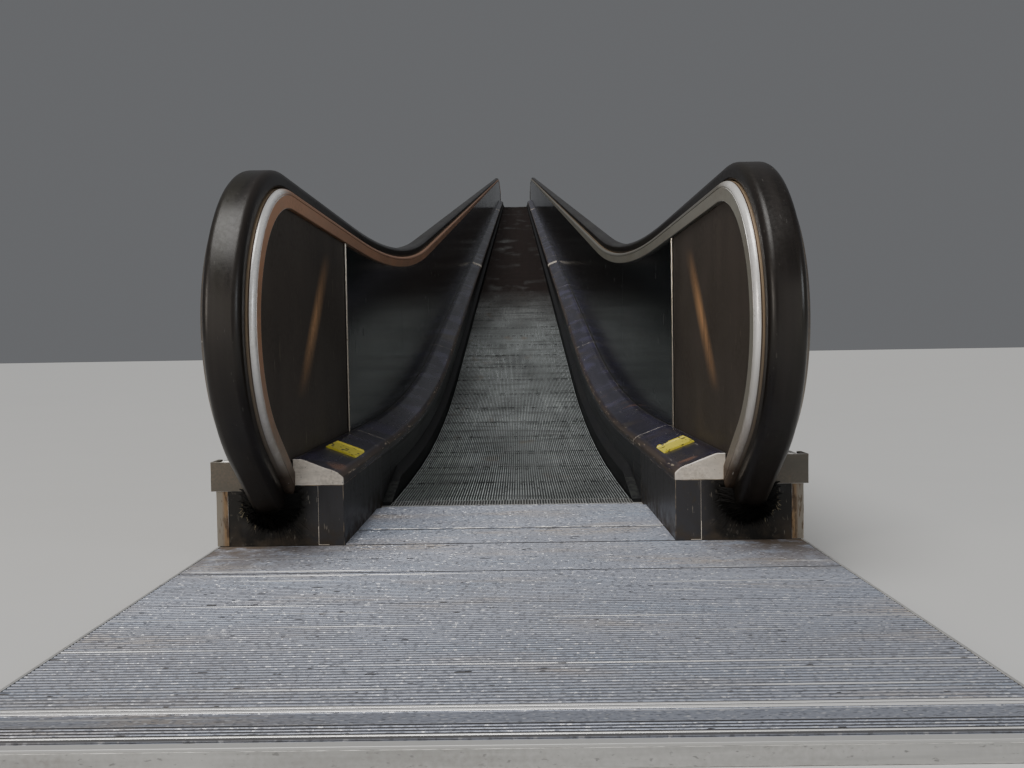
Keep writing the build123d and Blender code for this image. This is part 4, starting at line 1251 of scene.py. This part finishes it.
class WALKWAY_OT_handrails(bpy.types.Operator):
    """Make the two endless handrails and the capped guides that they run on"""
    bl_idname = "walkway.handrails"
    bl_label = "Make handrails and guides"

    def execute(self, context):
        settings = context.scene.walkway_balustrade
        bm = self.handrail(settings)
        both_sides(bm, "handrail_belt", "handrail_rubber", "handrail")
        for side in ("right", "left"):
            self.guide(settings, side)
        return {"FINISHED"}

    def handrail(self, settings):
        """A C section carried up the walkway, round the upper newel, back and round the lower."""
        half, depth = settings.rail_half, settings.rail_depth
        wall, side_wall, lip, throat = 0.013, 0.011, 0.010, 0.024
        right = [
            (half, 0, 0.0195), (half, -depth, 0.008), (throat, -depth, 0.003),
            (throat, lip - depth, 0), (half - side_wall, lip - depth, 0),
            (half - side_wall, -wall, 0),
        ]
        left = [(-x, height, radius) for x, height, radius in reversed(right)]
        corners = [(BALUSTRADE + x, RAIL_HEIGHT + z, r) for x, z, r in right + left]
        bm = bmesh.new()
        face, edges = section(bm, place(NEWEL_STATION), corners)
        bmesh.ops.delete(bm, geom=[face], context="FACES_ONLY")
        edges = carried(bm, edges, NEWEL_STATION, ROUTE_LENGTH - NEWEL_STATION)
        steep = pi - NEWEL_TURN
        edges = spun(bm, edges, newel_middle(True), -NEWEL_TURN, NEWEL_STEPS)
        outer = newel_middle(True) + turned_down((0, 0, NEWEL_RADIUS), NEWEL_TURN)
        run = turned_down((0, dive(), 0), NEWEL_TURN)
        centre = outer + run + turned_down((0, 0, -RETURN_RADIUS), NEWEL_TURN)
        edges = pushed(bm, edges, run)
        edges = spun(bm, edges, centre, -steep, RETURN_STEPS)
        inside = HALF_LENGTH - centre.y
        edges = carried(bm, edges, ROUTE_LENGTH - inside, inside)
        centre = Vector((0, -centre.y, centre.z - RISE))
        edges = spun(bm, edges, centre, -steep, RETURN_STEPS)
        edges = pushed(bm, edges, turned_down((0, dive(), 0), pi + steep))
        spun(bm, edges, newel_middle(False), -NEWEL_TURN, NEWEL_STEPS)
        return bm

    def guide(self, settings, side):
        """A rail with a rounded cap and a groove in its sides, up to both newels' feet."""
        half, depth, round_over = settings.cap_half, settings.cap_depth, 0.0125
        rail, rail_top, top = 0.021, -0.0133, -0.047
        groove, groove_width = 0.0015, 0.0025
        seam = top - round_over - 0.0015
        right = [
            (rail, rail_top, 0.003), (rail, top, 0), (half, top, round_over), (half, seam, 0),
            (half - groove, seam - groove / 2, 0),
            (half - groove, seam - groove_width, 0),
            (half, seam - groove_width - groove / 2, 0), (half, -depth, 0.002),
        ]
        left = [(-x, height, radius) for x, height, radius in reversed(right)]
        centre = BALUSTRADE if side == "right" else -BALUSTRADE
        corners = [(centre + x, z, radius) for x, z, radius in right + left]
        low = newel_middle(False)
        outer = low + turned_down((0, -dive(), NEWEL_RADIUS), -NEWEL_TURN)
        start = Matrix.Translation(outer) @ Matrix.Rotation(NEWEL_TURN, 4, "X")
        bm = bmesh.new()
        _, edges = section(bm, start, corners)
        edges = pushed(bm, edges, turned_down((0, dive(), 0), -NEWEL_TURN))
        edges = spun(bm, edges, low, -NEWEL_TURN, NEWEL_STEPS)
        edges = carried(bm, edges, NEWEL_STATION, ROUTE_LENGTH - NEWEL_STATION)
        edges = spun(bm, edges, newel_middle(True), -NEWEL_TURN, NEWEL_STEPS)
        edges = pushed(bm, edges, turned_down((0, dive(), 0), NEWEL_TURN))
        bmesh.ops.edgeloop_fill(bm, edges=edges)
        for face in bm.faces:
            if all(abs(abs(vert.co.x) - BALUSTRADE) > half - TINY for vert in face.verts):
                face.material_index = 1
        name = "handrail_guide_" + side
        piece(bm, "capped_guide_" + side, "guide_steel", [name], second="guide_side")


class WALKWAY_OT_panels(bpy.types.Operator):
    """Make the dark panels, the bronze newel panels and the bright strips between them"""
    bl_idname = "walkway.panels"
    bl_label = "Make balustrade panels"

    def execute(self, context):
        for side in ("left", "right"):
            for name in ("inner_panels_", "outer_panels_"):
                softened(name + side, 0.0008, "panel_glass")
            for end in ("lower", "upper"):
                softened(f"newel_panel_{side}_{end}", 0.001, "newel_bronze")
        for name in ("panel_posts", "balustrade_bases"):
            softened(name, 0.0006, "dark_gap")
        self.beads()
        return {"FINISHED"}

    def beads(self):
        """Two polished beads on each cover strip."""
        station = BASE_FRONT + 0.77
        width, radius, aside = 0.016, 0.0024, 0.056
        top = RAIL_HEIGHT - CAP_DEPTH
        bm = bmesh.new()
        for x in (BALUSTRADE - aside, BALUSTRADE + aside):
            for along in (radius, width - radius):
                at = FRONT @ Matrix.Translation((x, station + along, (DECK_TOP + top) / 2))
                bmesh.ops.create_cone(
                    bm, cap_ends=True, segments=12, radius1=radius, radius2=radius,
                    depth=top - DECK_TOP - 0.002, matrix=at,
                )
        in_four_corners(bm)
        piece(bm, "strip_beads", "stud_steel")


class WALKWAY_OT_newel_bases(bpy.types.Operator):
    """Make the boxes where the handrails go in, with their trims and brushes"""
    bl_idname = "walkway.newel_bases"
    bl_label = "Make newel bases"

    def execute(self, context):
        for side in ("left", "right"):
            for end in ("lower", "upper"):
                softened(f"newel_base_{side}_{end}", 0.0012, "base_paint")
        self.trims()
        self.plates()
        self.brushes()
        return {"FINISHED"}

    def trims(self):
        """Steel angles on the outer corners and light seams down the front sheets."""
        front, low, high = BASE_FRONT, 0.0005, SKIRT_TOP - 0.001
        outer, thickness = HALF_WIDTH + 0.0012, 0.0015
        bm = bmesh.new()
        block(bm, (HALF_WIDTH - 0.03, front - thickness, low), (outer, front, high))
        block(bm, (HALF_WIDTH, front - thickness, low), (outer, front + 0.05, high))
        bevelled(bm, 0.0005)
        in_four_corners(bm)
        piece(bm, "corner_angles", "cap_steel")
        seam, proud = 0.5025, 0.0007
        bm = bmesh.new()
        block(bm, (seam, front - 0.0006, low), (seam + 0.0005, front, high))
        block(bm, (seam, front - proud, low), (seam + 0.0014, front, 0.05))
        block(bm, (SKIRT_FACE + 0.04, front - proud, low), (seam, front, 0.0018))
        in_four_corners(bm)
        piece(bm, "front_seams", "cap_steel")

    def plates(self):
        """Front plates round the inlets, closed up to the handrails."""
        bm = bmesh.new()
        self.disc(bm, self.inlet() - Vector((0, 0.0004, 0)), RING_RADIUS + 0.004, 0.001)
        in_four_corners(bm)
        piece(bm, "inlet_plates", "base_paint")

    def inlet(self):
        """Centre of the inlet in the front of the lower right base."""
        return Vector((BALUSTRADE, BASE_FRONT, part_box("inlet_rings")[0].z - WALK + RING_RADIUS))

    def disc(self, bm, centre, radius, depth):
        """An upright disc that faces the landing, cut off below the top of the base."""
        at = FRONT @ Matrix.Translation(centre) @ Matrix.Rotation(pi / 2, 4, "X")
        bmesh.ops.create_cone(
            bm, cap_ends=True, segments=48, radius1=radius, radius2=radius, depth=depth, matrix=at
        )
        cut_off(bm, FRONT @ Vector((0, 0, SKIRT_TOP - 0.002)), (0, 0, 1))

    def brushes(self):
        """Tufts and loose bristles round the four inlets, with lint caught in them."""
        draw = random.Random(11)
        bm, fluff = bmesh.new(), bmesh.new()
        self.disc(bm, self.inlet() + Vector((0, -0.003, BRUSH_LIFT)), 0.074, 0.004)
        tufts = 34
        for number in range(tufts):
            angle = 2 * pi * number / tufts + draw.uniform(-0.04, 0.04)
            self.bristle(bm, angle, 0.07, draw.uniform(0.014, 0.021), 0.0046, 0.2, 6)
        for count, arc, roots, lengths, radius, leans, way, twist in (
            (700, (0, 2 * pi), (0.05, 0.07), (0.01, 0.018), 0.0008, (0.1, 0.7), 1, 0.5),
            (900, (0.92 * pi, 2.08 * pi), (0.06, 0.08), (0.03, 0.055), 0.0013, (0.5, 1.3), -1, 0.3),
        ):
            for number in range(count):
                spans = arc, roots, lengths, leans, (-twist, twist)
                angle, root, length, lean, turn = (draw.uniform(*span) for span in spans)
                self.bristle(bm, angle, root, length, radius, lean, 3, way, turn)
        for number in range(60):
            angle = draw.uniform(1.2 * pi, 1.75 * pi)
            self.bristle(bm, angle, 0.075, draw.uniform(0.02, 0.06), 0.0005, 0.12, 3)
        for number in range(46):
            angle = draw.gauss(1.86 * pi, 0.22)
            self.bristle(fluff, angle, draw.uniform(0.05, 0.085), draw.uniform(0.004, 0.013),
                         draw.uniform(0.0006, 0.0022), 0.8, 5, 1, draw.uniform(-1.5, 1.5))
        in_four_corners(bm)
        in_four_corners(fluff)
        piece(bm, "inlet_brushes", "brush_black", ["inlet_rings"])
        piece(fluff, "brush_lint", "lint")

    def bristle(self, bm, angle, root, length, radius, lean, sides, way=1, twist=0.0):
        """A thin cone that points outwards or inwards from the ring, inside the base's front."""
        centre = self.inlet() + Vector((0, -0.006, BRUSH_LIFT))
        foot = centre + root * Vector((cos(angle), 0, sin(angle)))
        aim = way * Vector((cos(angle + twist), 0, sin(angle + twist))) - lean * Vector((0, 1, 0))
        aim.normalize()
        tip = foot + length * aim
        highest, outermost = SKIRT_TOP - 0.004, HALF_WIDTH - 0.034
        if not 0.001 <= tip.z <= highest or tip.x > outermost:
            return
        turn = aim.to_track_quat("Z", "Y").to_matrix().to_4x4()
        bmesh.ops.create_cone(
            bm, cap_ends=True, segments=sides, radius1=radius, radius2=radius * 0.25,
            depth=length, matrix=FRONT @ Matrix.Translation((foot + tip) / 2) @ turn,
        )


class WALKWAY_OT_housing(bpy.types.Operator):
    """Make the side cladding, the housing and the steel that it stands on"""
    bl_idname = "walkway.housing"
    bl_label = "Make housing and supports"

    def execute(self, context):
        settings = context.scene.walkway_housing
        for width, finish, names in (
            (0.0015, "cladding_steel", ("side_cladding_left", "side_cladding_right")),
            (0.004, "truss_paint", ("truss_lower", "truss_middle", "truss_upper")),
            (0.003, "support_paint", ("support_middle", "support_upper")),
            (0.003, "frame_steel", ("bearing_angle",)),
        ):
            for name in names:
                softened(name, width, finish)
        self.screws(settings)
        return {"FINISHED"}

    def screws(self, settings):
        """Screw heads at the ends of each cladding sheet."""
        rows, lowest, head = (0.1, -0.28, -0.66, -1.0), 0.05, 0.0022
        margin, lap = 0.05, 0.004
        length = ROUTE_LENGTH - 2 * PALLET_START
        count = round(length / SHEET_LENGTH)
        pitch = length / count
        bm = bmesh.new()
        for number in range(count):
            for along in (margin, pitch - margin - lap):
                station = PALLET_START + number * pitch + along
                for height in rows:
                    at = place(station) @ Matrix.Translation((HALF_WIDTH, 0, height))
                    if at.translation.z > lowest:
                        at = at @ Matrix.Rotation(pi / 2, 4, "Y")
                        screw(bm, at, settings.screw_radius, head)
        repeated(bm, TO_LEFT)
        piece(bm, "cladding_screws", "stud_steel")


class WALKWAY_OT_stage(bpy.types.Operator):
    """Make the floor, the lights and the camera"""
    bl_idname = "walkway.stage"
    bl_label = "Make stage"

    def execute(self, context):
        settings = context.scene.walkway_stage
        self.floor(settings)
        self.camera(settings)
        self.lights(settings)
        return {"FINISHED"}

    def floor(self, settings):
        made = Finish("pale_floor", settings.floor[:], 0.9, Specular_IOR_Level=0.1)
        made.grimy((0.4, 0.4, 0.4), 3, 0.3, tinted(settings.floor, 0.93), 0.92)
        made.done()
        bm = bmesh.new()
        sunk = Matrix.Translation((0, 0, -0.0008))
        bmesh.ops.create_grid(bm, x_segments=24, y_segments=24, size=70, matrix=sunk)
        layer = bm.verts.layers.float_vector.new("route")
        for vert in bm.verts:
            vert[layer] = vert.co
        mesh = new_mesh("floor", bm)
        mesh.materials.append(bpy.data.materials["pale_floor" + FINISH])
        new_object("floor", mesh)

    def camera(self, settings):
        ahead = Vector((
            sin(settings.yaw) * cos(settings.pitch),
            cos(settings.yaw) * cos(settings.pitch),
            sin(settings.pitch),
        ))
        level = Vector((cos(settings.yaw), -sin(settings.yaw), 0))
        above = level.cross(ahead)
        right = level * cos(settings.roll) + above * sin(settings.roll)
        up = above * cos(settings.roll) - level * sin(settings.roll)
        data = bpy.data.cameras.new("camera")
        data.lens = settings.lens
        data.sensor_width = 36
        data.clip_start = 0.05
        data.clip_end = 300
        camera = new_object("camera", data)
        camera.matrix_world = Matrix.Translation(settings.camera) @ Matrix(
            (right, up, -ahead)
        ).transposed().to_4x4()
        bpy.context.scene.camera = camera

    def lights(self, settings):
        world = bpy.data.worlds.new("studio")
        world.use_nodes = True
        background = world.node_tree.nodes["Background"]
        background.inputs["Color"].default_value = (0.86, 0.88, 0.92, 1)
        background.inputs["Strength"].default_value = settings.sky
        bpy.context.scene.world = world
        warm, cool, day = (1, 0.92, 0.82), (0.9, 0.95, 1), (1, 0.985, 0.96)
        for name, at, aim, size, power, colour in (
            ("window_left", (-5.5, -20.5, 2.4), (-0.4, -15.4, 0.6), (2.4, 2.4), 130, warm),
            ("window_right", (5.5, -20.5, 2.8), (0.4, -15.4, 0.6), (2.0, 2.0), 80, cool),
            ("strip_left", (-2.1, -20.6, 1.5), (-0.6, -15.8, 0.6), (0.28, 2.6), 12, warm),
            ("strip_right", (2.3, -20.6, 1.5), (0.6, -15.8, 0.6), (0.28, 2.6), 8, warm),
        ):
            softbox = self.light(name, "AREA", at, Vector(aim) - Vector(at), power, colour)
            softbox.shape = "RECTANGLE"
            softbox.size, softbox.size_y = size
        self.light("overhead", "SUN", (0, 0, 0), (0.25, 0.35, -1), 2.3, day).angle = radians(40)

    def light(self, name, kind, at, direction, power, colour):
        data = bpy.data.lights.new(name, kind)
        data.energy = power
        data.color = colour
        light = new_object(name, data)
        light.location = at
        light.rotation_mode = "QUATERNION"
        light.rotation_quaternion = Vector(direction).to_track_quat("-Z", "Y")
        return data


class WALKWAY_PT_panel(bpy.types.Panel):
    """Sizes, colours and the steps that make the walkway"""
    bl_label = "Moving walkway"
    bl_idname = "WALKWAY_PT_panel"
    bl_space_type = "VIEW_3D"
    bl_region_type = "UI"
    bl_category = "Walkway"

    def draw(self, context):
        for name, settings in SETTINGS.items():
            box = self.layout.box()
            for key in settings.__annotations__:
                box.prop(getattr(context.scene, name), key)
        for step in STEPS:
            self.layout.operator(step.bl_idname)


SETTINGS = {
    "walkway_plates": WalkwayPlates,
    "walkway_band": WalkwayBand,
    "walkway_decks": WalkwayDecks,
    "walkway_balustrade": WalkwayBalustrade,
    "walkway_housing": WalkwayHousing,
    "walkway_stage": WalkwayStage,
}
STEPS = [
    WALKWAY_OT_finishes,
    WALKWAY_OT_stage,
    WALKWAY_OT_plates,
    WALKWAY_OT_band,
    WALKWAY_OT_decks,
    WALKWAY_OT_handrails,
    WALKWAY_OT_panels,
    WALKWAY_OT_newel_bases,
    WALKWAY_OT_housing,
]


def register():
    for settings in SETTINGS.values():
        bpy.utils.register_class(settings)
    for name, settings in SETTINGS.items():
        setattr(bpy.types.Scene, name, PointerProperty(type=settings))
    for made in STEPS + [WALKWAY_PT_panel]:
        bpy.utils.register_class(made)


def unregister():
    for made in reversed(STEPS + [WALKWAY_PT_panel]):
        bpy.utils.unregister_class(made)
    for name in SETTINGS:
        delattr(bpy.types.Scene, name)
    for settings in reversed(SETTINGS.values()):
        bpy.utils.unregister_class(settings)


def main():
    register()
    for step in STEPS:
        getattr(bpy.ops.walkway, step.bl_idname.split(".")[1])()


if __name__ == "__main__":
    main()
